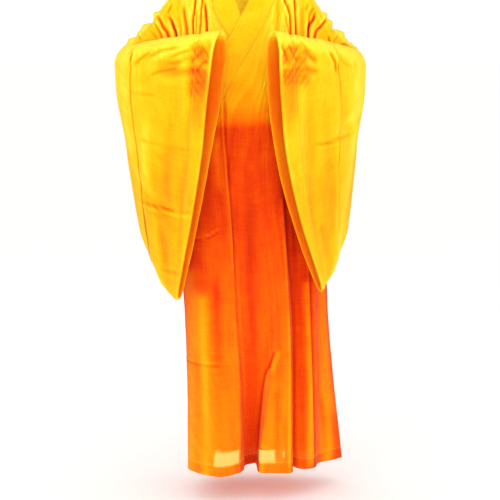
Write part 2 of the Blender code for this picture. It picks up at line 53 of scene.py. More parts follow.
CLOTH = 0.0008  # one layer of thin cotton, drawn a little thick
BAND_CLOTH = 0.0016  # a band, which is cloth folded double
HEM = -1.313
WAIST = -0.42
HIP = -0.62
KNEE = -0.95
PANEL_TOP = -0.004
LAYER_GAP = 0.0080  # from the outer front to the under front
BAND_LIFT = 0.0036  # from a panel to a band that lies on it
BAND_LAP = 0.009  # how far a panel runs on under its band
SECTION_POWER = 0.84  # 1 gives an ellipse, less a squarer section
ARMHOLE_TOP = -0.052
ARMHOLE_BOTTOM = -0.420
ARMHOLE_REACH = 0.070
ARMHOLE_LIP = 0.0005
ARMHOLE_BLEND = 0.14
ARMHOLE_GAP = 0.0006  # from a panel's edge to the sleeve's
BODY_MIDDLE_Y = 0.02
RIGHT_ELBOW_SEAM = 0.600  # how far along each sleeve its upright seam is
LEFT_ELBOW_SEAM = 0.685
SLEEVE_LENGTH = 0.46  # from armhole to mouth, along the arm
HEM_DEPTH = 0.022  # the turned hem
HEM_INSET = 0.0016  # from a panel's middle to its turned layer
STITCH = 0.0032  # one stitch
STITCH_STEP = 0.0050  # from one stitch to the next
HALF_THREAD = 0.00035
RIDGE_PLACE = 2.0  # the ridges beside a crease, in crease widths: where, how wide, how high
RIDGE_WIDTH = 0.8
RIDGE_HEIGHT = 0.30
RIDGE_HIGHLIGHT = 0.20  # painted highlight on the ridges: how much lighter the colour is there
SHADE_FOCUS = 1.7  # above 1, the painted crease shade is narrower than the trough


class Side(Enum):
    """The two faces of the body that a panel can lie on."""

    FRONT = "front"
    BACK = "back"


class Hand(Enum):
    """The wearer's right and left, with the sign of X on that side."""

    RIGHT = -1
    LEFT = 1


@dataclass(frozen=True)
class Section:
    """One level section of the body above the waist."""

    z: float
    half_width: float
    front: float
    back: float
    shift: float


@dataclass(frozen=True)
class Fold:
    """One fold line down the skirt: x at four heights, y at three."""

    name: str
    waist_x: float
    hip_x: float
    knee_x: float
    hem_x: float
    hip_y: float
    knee_y: float
    hem_y: float


@dataclass(frozen=True)
class NeckEdge:
    """Where the neck band's seam and free edge stand at one height."""

    z: float
    seam_x: float
    free_x: float


@dataclass(frozen=True)
class Ring:
    """One upright ring of a sleeve, at a share of its length from armhole to cuff."""

    at: float
    top_x: float
    top_y: float
    top_z: float
    low_x: float
    low_y: float
    low_z: float
    heading: float
    arm: float
    hang: float
    bulge: float
    lean: float


@dataclass(frozen=True)
class Crease:
    """A soft trough, or a ridge where depth is below 0, along a path seen from the front.

    path holds (x, z) in metres, reach is half the trough's width, and its shade value deepens
    the trough's colour as painted shade; below 0 it is a painted highlight.
    """

    path: tuple[tuple[float, float], ...]
    reach: float
    depth: float
    dye: float = 0.0
    fades: bool = True


@dataclass(frozen=True)
class ShadeLevel:
    """How deep the painted shade lies at one height, from 0, the cloth's yellow, to 1, red."""

    z: float
    dye: float


@dataclass(frozen=True)
class ThinPlace:
    """A place above the hem where one layer stands before the light, by its four edges."""

    left: float
    right: float
    high: float
    low: float


@dataclass(frozen=True)
class SleevePress:
    """A trough in a sleeve, in shares of its length and of its height below the top."""

    outer: bool
    at: float
    drop: float
    to_at: float
    to_drop: float
    reach: float
    depth: float


SECTIONS = (
    Section(0.000, 0.080, 0.034, 0.064, 0.000),
    Section(-0.015, 0.104, 0.058, 0.078, 0.000),
    Section(-0.030, 0.128, 0.075, 0.087, 0.000),
    Section(-0.052, 0.157, 0.090, 0.094, 0.000),
    Section(-0.080, 0.163, 0.102, 0.099, 0.000),
    Section(-0.140, 0.167, 0.117, 0.103, 0.000),
    Section(-0.250, 0.172, 0.133, 0.107, 0.001),
    Section(-0.420, 0.170, 0.140, 0.110, 0.003),
)
FRONT_FOLDS = (
    Fold("right_seam", -0.167, -0.165, -0.147, -0.136, 0.000, -0.005, -0.015),
    Fold("right_edge", -0.156, -0.156, -0.143, -0.1375, -0.070, -0.080, -0.090),
    Fold("left_crown_outer", -0.124, -0.122, -0.104, -0.092, -0.118, -0.148, -0.160),
    Fold("left_crown", -0.086, -0.080, -0.067, -0.0545, -0.138, -0.165, -0.180),
    Fold("left_crown_inner", -0.062, -0.048, -0.028, -0.019, -0.148, -0.160, -0.155),
    Fold("left_fold_edge", -0.048, -0.030, -0.007, 0.003, -0.152, -0.148, -0.1165),
    Fold("valley_wall", -0.034, -0.014, 0.004, 0.0075, -0.146, -0.130, -0.062),
    Fold("valley_floor_inner", -0.008, 0.012, 0.026, 0.0246, -0.146, -0.118, -0.034),
    Fold("valley_floor_outer", 0.024, 0.040, 0.056, 0.0365, -0.147, -0.116, -0.029),
    Fold("middle_wall", 0.046, 0.062, 0.076, 0.0406, -0.149, -0.128, -0.098),
    Fold("middle_edge", 0.060, 0.074, 0.088, 0.0465, -0.151, -0.142, -0.132),
    Fold("middle_crown", 0.076, 0.088, 0.108, 0.085, -0.152, -0.152, -0.141),
    Fold("middle_crease", 0.092, 0.102, 0.126, 0.1245, -0.147, -0.146, -0.140),
    Fold("deep_wall", 0.100, 0.109, 0.130, 0.1275, -0.112, -0.110, -0.075),
    Fold("deep_floor", 0.110, 0.122, 0.136, 0.1325, -0.092, -0.085, -0.062),
    Fold("right_rise", 0.120, 0.140, 0.150, 0.147, -0.086, -0.090, -0.085),
    Fold("right_crown", 0.134, 0.160, 0.176, 0.171, -0.086, -0.100, -0.094),
    Fold("right_fold_edge", 0.147, 0.176, 0.189, 0.189, -0.074, -0.086, -0.078),
    Fold("side_step", 0.158, 0.188, 0.200, 0.205, -0.050, -0.042, -0.022),
    Fold("side_panel", 0.165, 0.202, 0.217, 0.236, -0.026, -0.016, 0.006),
    Fold("left_seam", 0.173, 0.210, 0.229, 0.268, 0.004, 0.018, 0.040),
)
BACK_FOLDS = (
    Fold("left_seam", 0.173, 0.210, 0.229, 0.268, 0.004, 0.018, 0.040),
    Fold("left_turn", 0.166, 0.198, 0.214, 0.250, 0.046, 0.064, 0.084),
    Fold("left_crown", 0.136, 0.160, 0.172, 0.204, 0.092, 0.112, 0.126),
    Fold("left_valley", 0.102, 0.118, 0.134, 0.160, 0.108, 0.114, 0.112),
    Fold("left_inner_crown", 0.068, 0.080, 0.094, 0.114, 0.122, 0.140, 0.156),
    Fold("middle_valley", 0.026, 0.036, 0.048, 0.066, 0.120, 0.122, 0.122),
    Fold("middle_crown", -0.014, -0.008, 0.004, 0.022, 0.126, 0.144, 0.160),
    Fold("right_valley", -0.056, -0.054, -0.042, -0.026, 0.118, 0.120, 0.122),
    Fold("right_inner_crown", -0.096, -0.094, -0.082, -0.070, 0.118, 0.134, 0.148),
    Fold("right_outer_valley", -0.130, -0.128, -0.112, -0.102, 0.092, 0.096, 0.098),
    Fold("right_crown", -0.156, -0.155, -0.136, -0.126, 0.058, 0.068, 0.080),
    Fold("right_seam", -0.167, -0.165, -0.147, -0.136, 0.000, -0.005, -0.015),
)
OVER_NECK = (
    NeckEdge(0.000, 0.079, 0.058),
    NeckEdge(-0.050, 0.083, 0.043),
    NeckEdge(-0.106, 0.082, 0.020),
    NeckEdge(-0.143, 0.068, 0.000),
    NeckEdge(-0.179, 0.050, -0.020),
    NeckEdge(-0.324, -0.034, -0.104),
    NeckEdge(-0.404, -0.080, -0.150),
    NeckEdge(-0.527, -0.150, -0.150),
)
UNDER_NECK = (
    NeckEdge(0.000, -0.079, -0.058),
    NeckEdge(-0.050, -0.082, -0.039),
    NeckEdge(-0.106, -0.080, -0.016),
    NeckEdge(-0.143, -0.068, 0.000),
    NeckEdge(-0.180, -0.041, 0.020),
    NeckEdge(-0.324, 0.034, 0.088),
    NeckEdge(-0.345, 0.044, 0.100),
    NeckEdge(-0.450, 0.100, 0.100),
)
RIGHT_SLEEVE = (
    Ring(0.00, -0.160, 0.000, -0.052, -0.174, 0.000, -0.420, 180, 0.070, 0.050, 0.000, 0.000),
    Ring(0.14, -0.202, 0.000, -0.116, -0.196, 0.000, -0.500, 180, 0.062, 0.040, 0.000, 0.000),
    Ring(0.28, -0.250, -0.004, -0.167, -0.226, -0.004, -0.590, 188, 0.054, 0.032, 0.002, 0.000),
    Ring(0.40, -0.284, -0.016, -0.206, -0.250, -0.016, -0.655, 215, 0.046, 0.026, 0.004, 0.000),
    Ring(0.49, -0.287, -0.048, -0.222, -0.250, -0.046, -0.708, 262, 0.040, 0.022, 0.008, 0.000),
    Ring(0.58, -0.260, -0.092, -0.214, -0.230, -0.080, -0.765, 305, 0.038, 0.022, 0.010, 0.000),
    Ring(0.70, -0.208, -0.144, -0.203, -0.203, -0.118, -0.820, 316, 0.036, 0.022, 0.008, 0.000),
    Ring(0.84, -0.136, -0.206, -0.194, -0.177, -0.155, -0.850, 318, 0.030, 0.016, 0.000, 0.002),
    Ring(1.00, -0.047, -0.266, -0.186, -0.158, -0.185, -0.852, 318, 0.023, 0.0125, 0.004, 0.017),
)
LEFT_SLEEVE = (
    Ring(0.00, 0.160, 0.000, -0.052, 0.174, 0.000, -0.420, 0, 0.070, 0.050, 0.000, 0.000),
    Ring(0.14, 0.198, 0.000, -0.116, 0.198, 0.000, -0.500, 0, 0.062, 0.040, 0.000, 0.000),
    Ring(0.28, 0.244, -0.004, -0.170, 0.230, -0.004, -0.590, -8, 0.054, 0.032, 0.002, 0.000),
    Ring(0.40, 0.277, -0.016, -0.212, 0.262, -0.016, -0.655, -35, 0.046, 0.026, 0.003, 0.000),
    Ring(0.49, 0.280, -0.048, -0.226, 0.264, -0.046, -0.705, -82, 0.040, 0.022, 0.004, 0.000),
    Ring(0.58, 0.256, -0.092, -0.218, 0.247, -0.080, -0.757, -125, 0.038, 0.022, 0.008, 0.000),
    Ring(0.70, 0.210, -0.144, -0.206, 0.232, -0.118, -0.795, -136, 0.036, 0.022, 0.008, 0.000),
    Ring(0.84, 0.148, -0.206, -0.196, 0.214, -0.155, -0.820, -138, 0.030, 0.019, 0.002, 0.014),
    Ring(1.00, 0.078, -0.266, -0.186, 0.201, -0.182, -0.832, -138, 0.021, 0.017, 0.009, 0.056),
)
RIGHT_PRESSES = (
    SleevePress(True, 0.52, 0.62, 0.98, 0.70, 0.035, 0.006),
    SleevePress(True, 0.55, 0.13, 0.80, 0.05, 0.030, 0.006),
    SleevePress(True, 0.60, 0.19, 0.90, 0.11, 0.028, 0.005),
    SleevePress(False, 0.13, 0.02, 0.04, 0.42, 0.026, 0.016),
    SleevePress(False, 0.22, 0.04, 0.11, 0.36, 0.030, 0.014),
    SleevePress(False, 0.33, 0.04, 0.20, 0.28, 0.026, 0.010),
    SleevePress(True, 0.16, 0.04, 0.06, 0.50, 0.034, 0.010),
    SleevePress(True, 0.32, 0.10, 0.22, 0.60, 0.036, 0.010),
)
LEFT_PRESSES = (
    SleevePress(True, 0.50, 0.33, 0.76, 0.42, 0.035, 0.006),
    SleevePress(True, 0.62, 0.14, 0.90, 0.06, 0.030, 0.005),
    SleevePress(True, 0.62, 0.55, 0.95, 0.50, 0.030, 0.004),
    SleevePress(False, 0.12, 0.02, 0.03, 0.44, 0.028, 0.016),
    SleevePress(False, 0.22, 0.03, 0.08, 0.34, 0.028, 0.012),
    SleevePress(False, 0.36, 0.05, 0.22, 0.26, 0.026, 0.010),
    SleevePress(True, 0.18, 0.04, 0.09, 0.54, 0.034, 0.010),
    SleevePress(True, 0.30, 0.08, 0.21, 0.62, 0.036, 0.009),
)

# ---- creases and places of painted shade and painted light, drawn in front view --------

YOKE_CREASES = (
    # the wearer's right shoulder and chest, from the sleeve inwards
    Crease(
        ((-0.222, -0.136), (-0.211, -0.149), (-0.199, -0.171), (-0.187, -0.191), (-0.180, -0.240)),
        0.0042,
        0.0050,
        0.79,
    ),
    Crease(
        ((-0.189, -0.139), (-0.180, -0.152), (-0.172, -0.173), (-0.167, -0.189), (-0.162, -0.240)),
        0.0036,
        0.0055,
        1.20,
    ),
    Crease(((-0.225, -0.156), (-0.213, -0.176), (-0.206, -0.191), (-0.200, -0.215)), 0.0030, 0.0022, 0.36),
    Crease(((-0.236, -0.177), (-0.221, -0.193), (-0.212, -0.206)), 0.0030, 0.0016, 0.16),
    Crease(((-0.269, -0.187), (-0.258, -0.203)), 0.0030, 0.0016, 0.28),
    Crease(((-0.268, -0.217), (-0.284, -0.229), (-0.293, -0.239), (-0.309, -0.252)), 0.0042, 0.0028, 0.46),
    Crease(((-0.175, -0.110), (-0.183, -0.126), (-0.189, -0.140)), 0.0034, 0.0022, 0.28),
    Crease(((-0.163, -0.100), (-0.161, -0.134), (-0.156, -0.164), (-0.152, -0.210)), 0.0040, 0.0020, 0.14),
    Crease(((-0.148, -0.110), (-0.145, -0.146), (-0.140, -0.174), (-0.137, -0.215)), 0.0052, 0.0035, 0.54),
    Crease(
        ((-0.114, -0.060), (-0.117, -0.104), (-0.120, -0.136), (-0.123, -0.158), (-0.121, -0.215)),
        0.0032,
        0.0045,
        0.90,
    ),
    Crease(((-0.110, -0.118), (-0.114, -0.155), (-0.116, -0.205)), 0.0020, 0.0015, 0.45),
    Crease(
        ((-0.096, -0.050), (-0.099, -0.104), (-0.102, -0.136), (-0.103, -0.162), (-0.108, -0.205)),
        0.0027,
        0.0035,
        0.79,
    ),
    Crease(((-0.094, -0.100), (-0.090, -0.140), (-0.088, -0.165), (-0.087, -0.215)), 0.0040, 0.0045, 0.96),
    # the wearer's left shoulder and chest, from the neck band outwards
    Crease(((0.093, -0.060), (0.093, -0.104), (0.092, -0.148), (0.086, -0.215)), 0.0070, 0.0020, 0.14),
    Crease(
        (
            (0.105, -0.060), (0.110, -0.104), (0.118, -0.121),
            (0.123, -0.138), (0.125, -0.158), (0.127, -0.230),
        ),
        0.0034,
        0.0040,
        0.74,
    ),
    Crease(((0.110, -0.136), (0.116, -0.164), (0.124, -0.205)), 0.0026, 0.0016, 0.36),
    Crease(
        (
            (0.133, -0.060), (0.136, -0.104), (0.137, -0.125),
            (0.138, -0.146), (0.139, -0.168), (0.142, -0.230),
        ),
        0.0036,
        0.0040,
        0.77,
    ),
    Crease(((0.146, -0.090), (0.148, -0.154), (0.152, -0.210)), 0.0050, 0.0018, 0.12),
    Crease(((0.158, -0.110), (0.157, -0.154), (0.161, -0.210)), 0.0046, 0.0020, 0.14),
    Crease(((0.171, -0.112), (0.162, -0.131)), 0.0030, 0.0018, 0.28),
    Crease(((0.190, -0.117), (0.178, -0.132), (0.173, -0.150), (0.170, -0.182)), 0.0028, 0.0028, 0.59),
    Crease(
        ((0.189, -0.127), (0.183, -0.150), (0.174, -0.166), (0.171, -0.184), (0.172, -0.235)),
        0.0036,
        0.0052,
        1.20,
    ),
    Crease(
        ((0.226, -0.139), (0.211, -0.160), (0.201, -0.173), (0.190, -0.186), (0.183, -0.235)),
        0.0034,
        0.0042,
        0.74,
    ),
    Crease(((0.222, -0.192), (0.224, -0.205), (0.229, -0.222)), 0.0036, 0.0022, 0.46),
    Crease(((0.249, -0.190), (0.242, -0.200), (0.234, -0.211)), 0.0024, 0.0016, 0.28),
    Crease(((0.247, -0.220), (0.258, -0.216), (0.268, -0.215), (0.288, -0.225)), 0.0036, 0.0028, 0.54),
)
OUTLINE_CREASES = (
    # folds that stand out of the shoulders' outline, and the hollows between them
    Crease(((-0.232, -0.120), (-0.224, -0.132), (-0.214, -0.146)), 0.0060, -0.0055, -0.10),
    Crease(((-0.250, -0.138), (-0.236, -0.152), (-0.224, -0.166)), 0.0080, 0.0090, 0.22),
    Crease(((-0.272, -0.150), (-0.258, -0.164), (-0.246, -0.180)), 0.0060, -0.0040, -0.08),
    Crease(((-0.288, -0.178), (-0.276, -0.190), (-0.264, -0.206)), 0.0060, 0.0040, 0.20),
    Crease(((-0.303, -0.192), (-0.290, -0.205), (-0.278, -0.216)), 0.0060, -0.0040, -0.08),
    Crease(((0.224, -0.124), (0.217, -0.138), (0.206, -0.152)), 0.0060, -0.0060, -0.10),
    Crease(((0.256, -0.158), (0.242, -0.170), (0.228, -0.184)), 0.0080, 0.0100, 0.22),
    Crease(((0.276, -0.176), (0.262, -0.188), (0.250, -0.198)), 0.0060, -0.0060, -0.10),
    Crease(((0.290, -0.198), (0.280, -0.206), (0.266, -0.214)), 0.0050, 0.0035, 0.20),
    Crease(((0.306, -0.216), (0.296, -0.224), (0.284, -0.232)), 0.0050, -0.0030, -0.06),
)
LAP_LINE = (
    (-0.0440, -0.350),
    (-0.0410, -0.432),
    (-0.0340, -0.510),
    (-0.0290, -0.581),
    (-0.0220, -0.659),
    (-0.0150, -0.780),
    (-0.0070, -0.951),
    (0.0000, -1.073),
    (0.0026, -1.206),
    (0.0026, -1.310),
)  # the fold that runs down from the end of the neck band
MIDDLE_FOLD = (
    (0.0825, -1.000),
    (0.0696, -1.039),
    (0.0588, -1.062),
    (0.0507, -1.122),
    (0.0439, -1.194),
    (0.0410, -1.250),
    (0.0410, -1.310),
)  # the low fold in the middle
EDGE_FOLD = (
    (0.1052, -0.606),
    (0.1122, -0.692),
    (0.1165, -0.784),
    (0.1228, -0.887),
    (0.1256, -0.951),
    (0.1266, -1.093),
    (0.1266, -1.310),
)  # the edge of the wide fold, with the deep hollow on its right
SIDE_FOLD = (
    (0.1770, -0.780),
    (0.1825, -0.951),
    (0.1868, -1.073),
    (0.1908, -1.206),
    (0.1920, -1.310),
)  # the long fold at the left leg
SKIRT_CREASES = (
    Crease(LAP_LINE, 0.0040, 0.0032, 0.15, False),
    Crease(tuple((x - 0.0052, z) for x, z in LAP_LINE[:6]), 0.0030, -0.0014, -0.14, False),
    Crease(MIDDLE_FOLD, 0.0040, 0.0036, 0.24, False),
    Crease(tuple((x + 0.0110, z) for x, z in MIDDLE_FOLD), 0.0080, -0.0010, -0.14, False),
    Crease(tuple((x + 0.0050, z) for x, z in EDGE_FOLD), 0.0050, 0.0020, 0.16, False),
    Crease(tuple((x - 0.0030, z) for x, z in EDGE_FOLD), 0.0034, -0.0010, -0.14, False),
    Crease(SIDE_FOLD, 0.0036, 0.0030, 0.26, False),
    Crease(((-0.018, -0.302), (-0.032, -0.326), (-0.048, -0.356)), 0.0040, 0.0026, 0.26),
    Crease(((-0.010, -0.304), (-0.024, -0.330), (-0.040, -0.360)), 0.0036, 0.0016, 0.18),
    Crease(((-0.142, -1.029), (-0.100, -1.031), (-0.056, -1.028)), 0.0032, 0.0024, 0.15, False),
    Crease(((-0.142, -1.021), (-0.100, -1.023), (-0.056, -1.020)), 0.0032, -0.0014, -0.08, False),
    Crease(((-0.126, -0.710), (-0.090, -0.706), (-0.060, -0.690)), 0.0032, 0.0020, 0.12, False),
    Crease(((-0.122, -0.702), (-0.090, -0.698), (-0.060, -0.682)), 0.0032, -0.0014, -0.16, False),
    Crease(((-0.064, -0.760), (-0.062, -0.900), (-0.059, -1.080)), 0.012, 0.004, 0.10),
    Crease(((-0.018, -0.560), (-0.014, -0.700), (-0.012, -0.820)), 0.010, 0.003, 0.05),
    Crease(((0.010, -0.520), (0.018, -0.640), (0.030, -0.800)), 0.016, 0.003, 0.05),
    Crease(((0.058, -0.500), (0.062, -0.640), (0.068, -0.780)), 0.014, -0.003, 0.05),
    Crease(((0.088, -1.060), (0.092, -1.180), (0.088, -1.300)), 0.010, 0.003, 0.10),
    Crease(((0.108, -1.140), (0.112, -1.230), (0.110, -1.310)), 0.006, 0.002, 0.05),
    Crease(((-0.100, -1.140), (-0.098, -1.230), (-0.096, -1.312)), 0.012, 0.003, 0.05),
    Crease(((0.210, -1.120), (0.220, -1.220), (0.226, -1.312)), 0.008, 0.004, 0.15),
)
BACK_CREASES = (
    Crease(((-0.118, -0.050), (-0.104, -0.190), (-0.096, -0.330)), 0.0090, 0.0060, 0.22),
    Crease(((-0.070, -0.070), (-0.058, -0.230), (-0.050, -0.390)), 0.0110, 0.0045, 0.16),
    Crease(((0.062, -0.060), (0.058, -0.210), (0.056, -0.360)), 0.0100, 0.0050, 0.18),
    Crease(((0.120, -0.045), (0.110, -0.200), (0.104, -0.350)), 0.0090, 0.0060, 0.22),
    Crease(((-0.140, -0.060), (-0.148, -0.160), (-0.140, -0.300)), 0.0070, 0.0050, 0.22),
    Crease(((0.142, -0.070), (0.150, -0.180), (0.142, -0.290)), 0.0070, 0.0045, 0.22),
    Crease(((-0.150, -0.500), (-0.090, -0.480), (-0.020, -0.486)), 0.0060, 0.0025, 0.06),
    Crease(((0.150, -0.520), (0.100, -0.500), (0.040, -0.496)), 0.0060, 0.0025, 0.06),
    Crease(((-0.100, -0.960), (-0.070, -0.966), (-0.030, -0.964)), 0.0040, 0.0020, 0.10),
    Crease(((0.020, -0.742), (0.070, -0.748), (0.118, -0.744)), 0.0035, 0.0018, 0.08),
    Crease(((-0.110, -1.110), (-0.060, -1.118), (0.010, -1.114)), 0.0035, 0.0016, 0.08),
)
# sleeve creases with painted shade in their troughs; those with no depth paint shade where their value is
# above 0, and light where it is below
RIGHT_SLEEVE_CREASES = (
    Crease(((-0.272, -0.268), (-0.246, -0.246), (-0.222, -0.232)), 0.0040, 0.0026, 0.24),
    Crease(((-0.290, -0.244), (-0.276, -0.226), (-0.262, -0.212)), 0.0040, 0.0024, 0.22),
    Crease(((-0.236, -0.296), (-0.205, -0.284), (-0.150, -0.272)), 0.0044, 0.0024, 0.26),
    Crease(((-0.215, -0.268), (-0.180, -0.262), (-0.140, -0.262)), 0.0120, 0, 0.16),
    Crease(((-0.246, -0.372), (-0.246, -0.460), (-0.248, -0.560), (-0.246, -0.640)), 0.0280, 0, -0.08),
    Crease(((-0.214, -0.376), (-0.210, -0.460), (-0.206, -0.560), (-0.208, -0.640)), 0.0140, 0, -0.05),
    Crease(((-0.276, -0.606), (-0.232, -0.620), (-0.179, -0.629), (-0.108, -0.632)), 0.0042, 0.0030, 0.20),
    Crease(((-0.276, -0.614), (-0.232, -0.628), (-0.179, -0.637), (-0.108, -0.640)), 0.0042, -0.0024, -0.16),
    Crease(((-0.290, -0.449), (-0.230, -0.459), (-0.190, -0.470), (-0.104, -0.475)), 0.0050, 0.0018, 0.10),
    Crease(((-0.290, -0.334), (-0.250, -0.338), (-0.205, -0.343)), 0.0050, 0.0014, 0.08),
    Crease(
        ((-0.150, -0.221), (-0.181, -0.226), (-0.198, -0.230), (-0.215, -0.238), (-0.244, -0.252)),
        0.0044,
        0.0030,
        0.20,
    ),
    Crease(
        ((-0.098, -0.235), (-0.132, -0.249), (-0.163, -0.262), (-0.206, -0.277), (-0.240, -0.284)),
        0.0056,
        0.0026,
        0.12,
    ),
    Crease(((-0.086, -0.225), (-0.107, -0.247), (-0.132, -0.264)), 0.0050, 0.0030, 0.18),
    Crease(((-0.076, -0.254), (-0.094, -0.264), (-0.110, -0.283)), 0.0046, 0.0030, 0.22),
    Crease(((-0.080, -0.280), (-0.127, -0.281), (-0.179, -0.286), (-0.215, -0.292)), 0.0100, 0.0030, 0.20),
    Crease(((-0.179, -0.206), (-0.206, -0.212), (-0.240, -0.219)), 0.0040, 0.0020, 0.12),
    Crease(((-0.119, -0.228), (-0.153, -0.238), (-0.179, -0.248)), 0.0040, 0.0024, 0.20),
    Crease(((-0.272, -0.232), (-0.277, -0.246), (-0.281, -0.262)), 0.0030, 0.0020, 0.30),
    Crease(((-0.211, -0.782), (-0.175, -0.788), (-0.139, -0.789)), 0.0045, 0.0018, 0.16),
    Crease(((-0.170, -0.330), (-0.180, -0.460), (-0.196, -0.600)), 0.0160, 0.0030, 0.04),
    Crease(((-0.130, -0.340), (-0.134, -0.480), (-0.146, -0.610)), 0.0120, 0.0025, 0.06),
    Crease(((-0.215, -0.660), (-0.200, -0.720), (-0.190, -0.790)), 0.0120, 0.0025, 0.05),
    Crease(((-0.236, -0.330), (-0.238, -0.470), (-0.244, -0.600)), 0.0140, -0.0022, -0.05),
)
LEFT_SLEEVE_CREASES = (
    Crease(((0.176, -0.465), (0.220, -0.461), (0.244, -0.452), (0.300, -0.436)), 0.0046, 0.0026, 0.14),
    Crease(((0.180, -0.473), (0.220, -0.469), (0.250, -0.460)), 0.0046, -0.0018, -0.10),
    Crease(((0.150, -0.226), (0.162, -0.234), (0.175, -0.246), (0.193, -0.260)), 0.0090, 0.0036, 0.30),
    Crease(((0.219, -0.228), (0.229, -0.246), (0.236, -0.262), (0.238, -0.290)), 0.0044, 0.0032, 0.40),
    Crease(((0.112, -0.212), (0.124, -0.236), (0.139, -0.262)), 0.0040, 0.0026, 0.22),
    Crease(((0.143, -0.202), (0.160, -0.222), (0.175, -0.236)), 0.0040, 0.0022, 0.14),
    Crease(((0.096, -0.215), (0.106, -0.238), (0.114, -0.262)), 0.0046, 0.0030, 0.26),
    Crease(((0.150, -0.262), (0.172, -0.276), (0.196, -0.282)), 0.0080, 0.0030, 0.20),
    Crease(((0.246, -0.240), (0.262, -0.262), (0.280, -0.272)), 0.0060, 0.0020, 0.10),
    Crease(((0.170, -0.340), (0.180, -0.470), (0.200, -0.620)), 0.0160, 0.0030, 0.04),
    Crease(((0.212, -0.330), (0.222, -0.480), (0.232, -0.640)), 0.0140, 0.0030, 0.05),
    Crease(((0.200, -0.650), (0.212, -0.700), (0.220, -0.760)), 0.0120, 0.0025, 0.06),
    Crease(((0.262, -0.300), (0.270, -0.420), (0.276, -0.540)), 0.0100, 0.0025, 0.04),
)
FRONT_TINTS = (
    # painted shade and painted light: deeper where more layers and shade lie behind the front, lighter where
    # fewer do
    Crease(((-0.064, -0.430), (-0.060, -0.520), (-0.052, -0.600)), 0.016, 0, -0.22),
    Crease(((-0.088, -0.300), (-0.078, -0.350), (-0.066, -0.400)), 0.022, 0, 0.42),
    Crease(((0.094, -0.300), (0.082, -0.350), (0.072, -0.400)), 0.016, 0, 0.34),
    Crease(((0.210, -0.840), (0.214, -1.000), (0.222, -1.150), (0.228, -1.310)), 0.024, 0, -0.26, False),
    Crease(((-0.120, -0.480), (-0.105, -0.600), (-0.090, -0.700)), 0.040, 0, 0.03),
    Crease(((-0.136, -0.800), (-0.132, -0.980), (-0.132, -1.320)), 0.022, 0, -0.27, False),
    Crease(((-0.096, -0.860), (-0.094, -1.000), (-0.092, -1.320)), 0.019, 0, -0.28, False),
    Crease(((-0.118, -0.820), (-0.112, -0.940), (-0.108, -1.020)), 0.020, 0, -0.12),
    Crease(
        ((0.016, -0.560), (0.020, -0.700), (0.026, -0.900), (0.024, -1.100), (0.024, -1.500)),
        0.020,
        0,
        0.15,
    ),
    Crease(((0.080, -1.080), (0.084, -1.180), (0.080, -1.300)), 0.030, 0, -0.05, False),
    Crease(((0.100, -0.440), (0.098, -0.560), (0.100, -0.660)), 0.016, 0, 0.12),
    Crease(((0.132, -0.560), (0.134, -0.800), (0.136, -1.000), (0.134, -1.200)), 0.010, 0, 0.12),
    Crease(((0.166, -0.830), (0.173, -1.005), (0.178, -1.100), (0.180, -1.300)), 0.010, 0, -0.24, False),
    Crease(((0.246, -1.200), (0.252, -1.260), (0.256, -1.310)), 0.020, 0, 0.10, False),
)
THIN_PLACES = (
    ThinPlace(-0.073, -0.004, -1.244, -1.297),
    ThinPlace(0.043, 0.089, -1.243, -1.288),
    ThinPlace(0.104, 0.113, -1.252, -1.274),
)
# painted shade by height on the body: the colour deepens below the waist for the shade and the layers lying
# behind the sheer cloth
BODY_SHADE = (
    ShadeLevel(0.000, 0.00),
    ShadeLevel(-0.160, 0.05),
    ShadeLevel(-0.240, 0.12),
    ShadeLevel(-0.300, 0.18),
    ShadeLevel(-0.360, 0.30),
    ShadeLevel(-0.398, 0.43),
    ShadeLevel(-0.411, 0.56),
    ShadeLevel(-0.426, 0.76),
    ShadeLevel(-0.650, 0.78),
    ShadeLevel(-0.800, 0.69),
    ShadeLevel(-0.950, 0.59),
    ShadeLevel(-1.100, 0.52),
    ShadeLevel(-1.313, 0.44),
)
# painted shade by height on the sleeves, deeper towards their hanging parts
SLEEVE_SHADE = (
    ShadeLevel(-0.050, -0.04),
    ShadeLevel(-0.200, 0.04),
    ShadeLevel(-0.260, 0.20),
    ShadeLevel(-0.450, 0.26),
    ShadeLevel(-0.600, 0.37),
    ShadeLevel(-0.860, 0.36),
)


# ---- working out surfaces ---------------------------------------------------------------


def soft_step(values: np.ndarray) -> np.ndarray:
    """Values from 0 to 1, eased at both ends.

    Args:
        values: numbers of any size.

    Returns:
        The same shape, 0 where values are 0 or less and 1 where they are 1 or more.
    """
    share = np.clip(values, 0, 1)
    return share * share * (3 - 2 * share)


def column(rows: tuple, name: str) -> np.ndarray:
    """One named column of a table.

    Args:
        rows: the table's rows.
        name: the field to read.

    Returns:
        One number for each row.
    """
    return np.array([getattr(row, name) for row in rows], float)


def shade_at(levels: tuple[ShadeLevel, ...], z: np.ndarray) -> np.ndarray:
    """The painted shade of a table at each height."""
    return np.interp(-z, -column(levels, "z"), column(levels, "dye"))


def neck_x(edges: tuple[NeckEdge, ...], name: str, z: float) -> float:
    """x of a neck band's seam or free edge at a height."""
    return float(np.interp(-z, -column(edges, "z"), column(edges, name)))


def through(keys: np.ndarray, values: np.ndarray, at: np.ndarray) -> np.ndarray:
    """Values on a smooth curve that passes through values, where keys holds their places.

    Args:
        keys: places, rising.
        values: one value, or one row of values, for each key.
        at: the places to read.

    Returns:
        One value, or row of values, for each place.
    """
    at = np.clip(at, keys[0], keys[-1])
    slopes = np.gradient(values, keys, axis=0, edge_order=1)
    span = np.clip(np.searchsorted(keys, at) - 1, 0, len(keys) - 2)
    return hermite(keys, values[span], values[span + 1], slopes[span], slopes[span + 1], span, at)


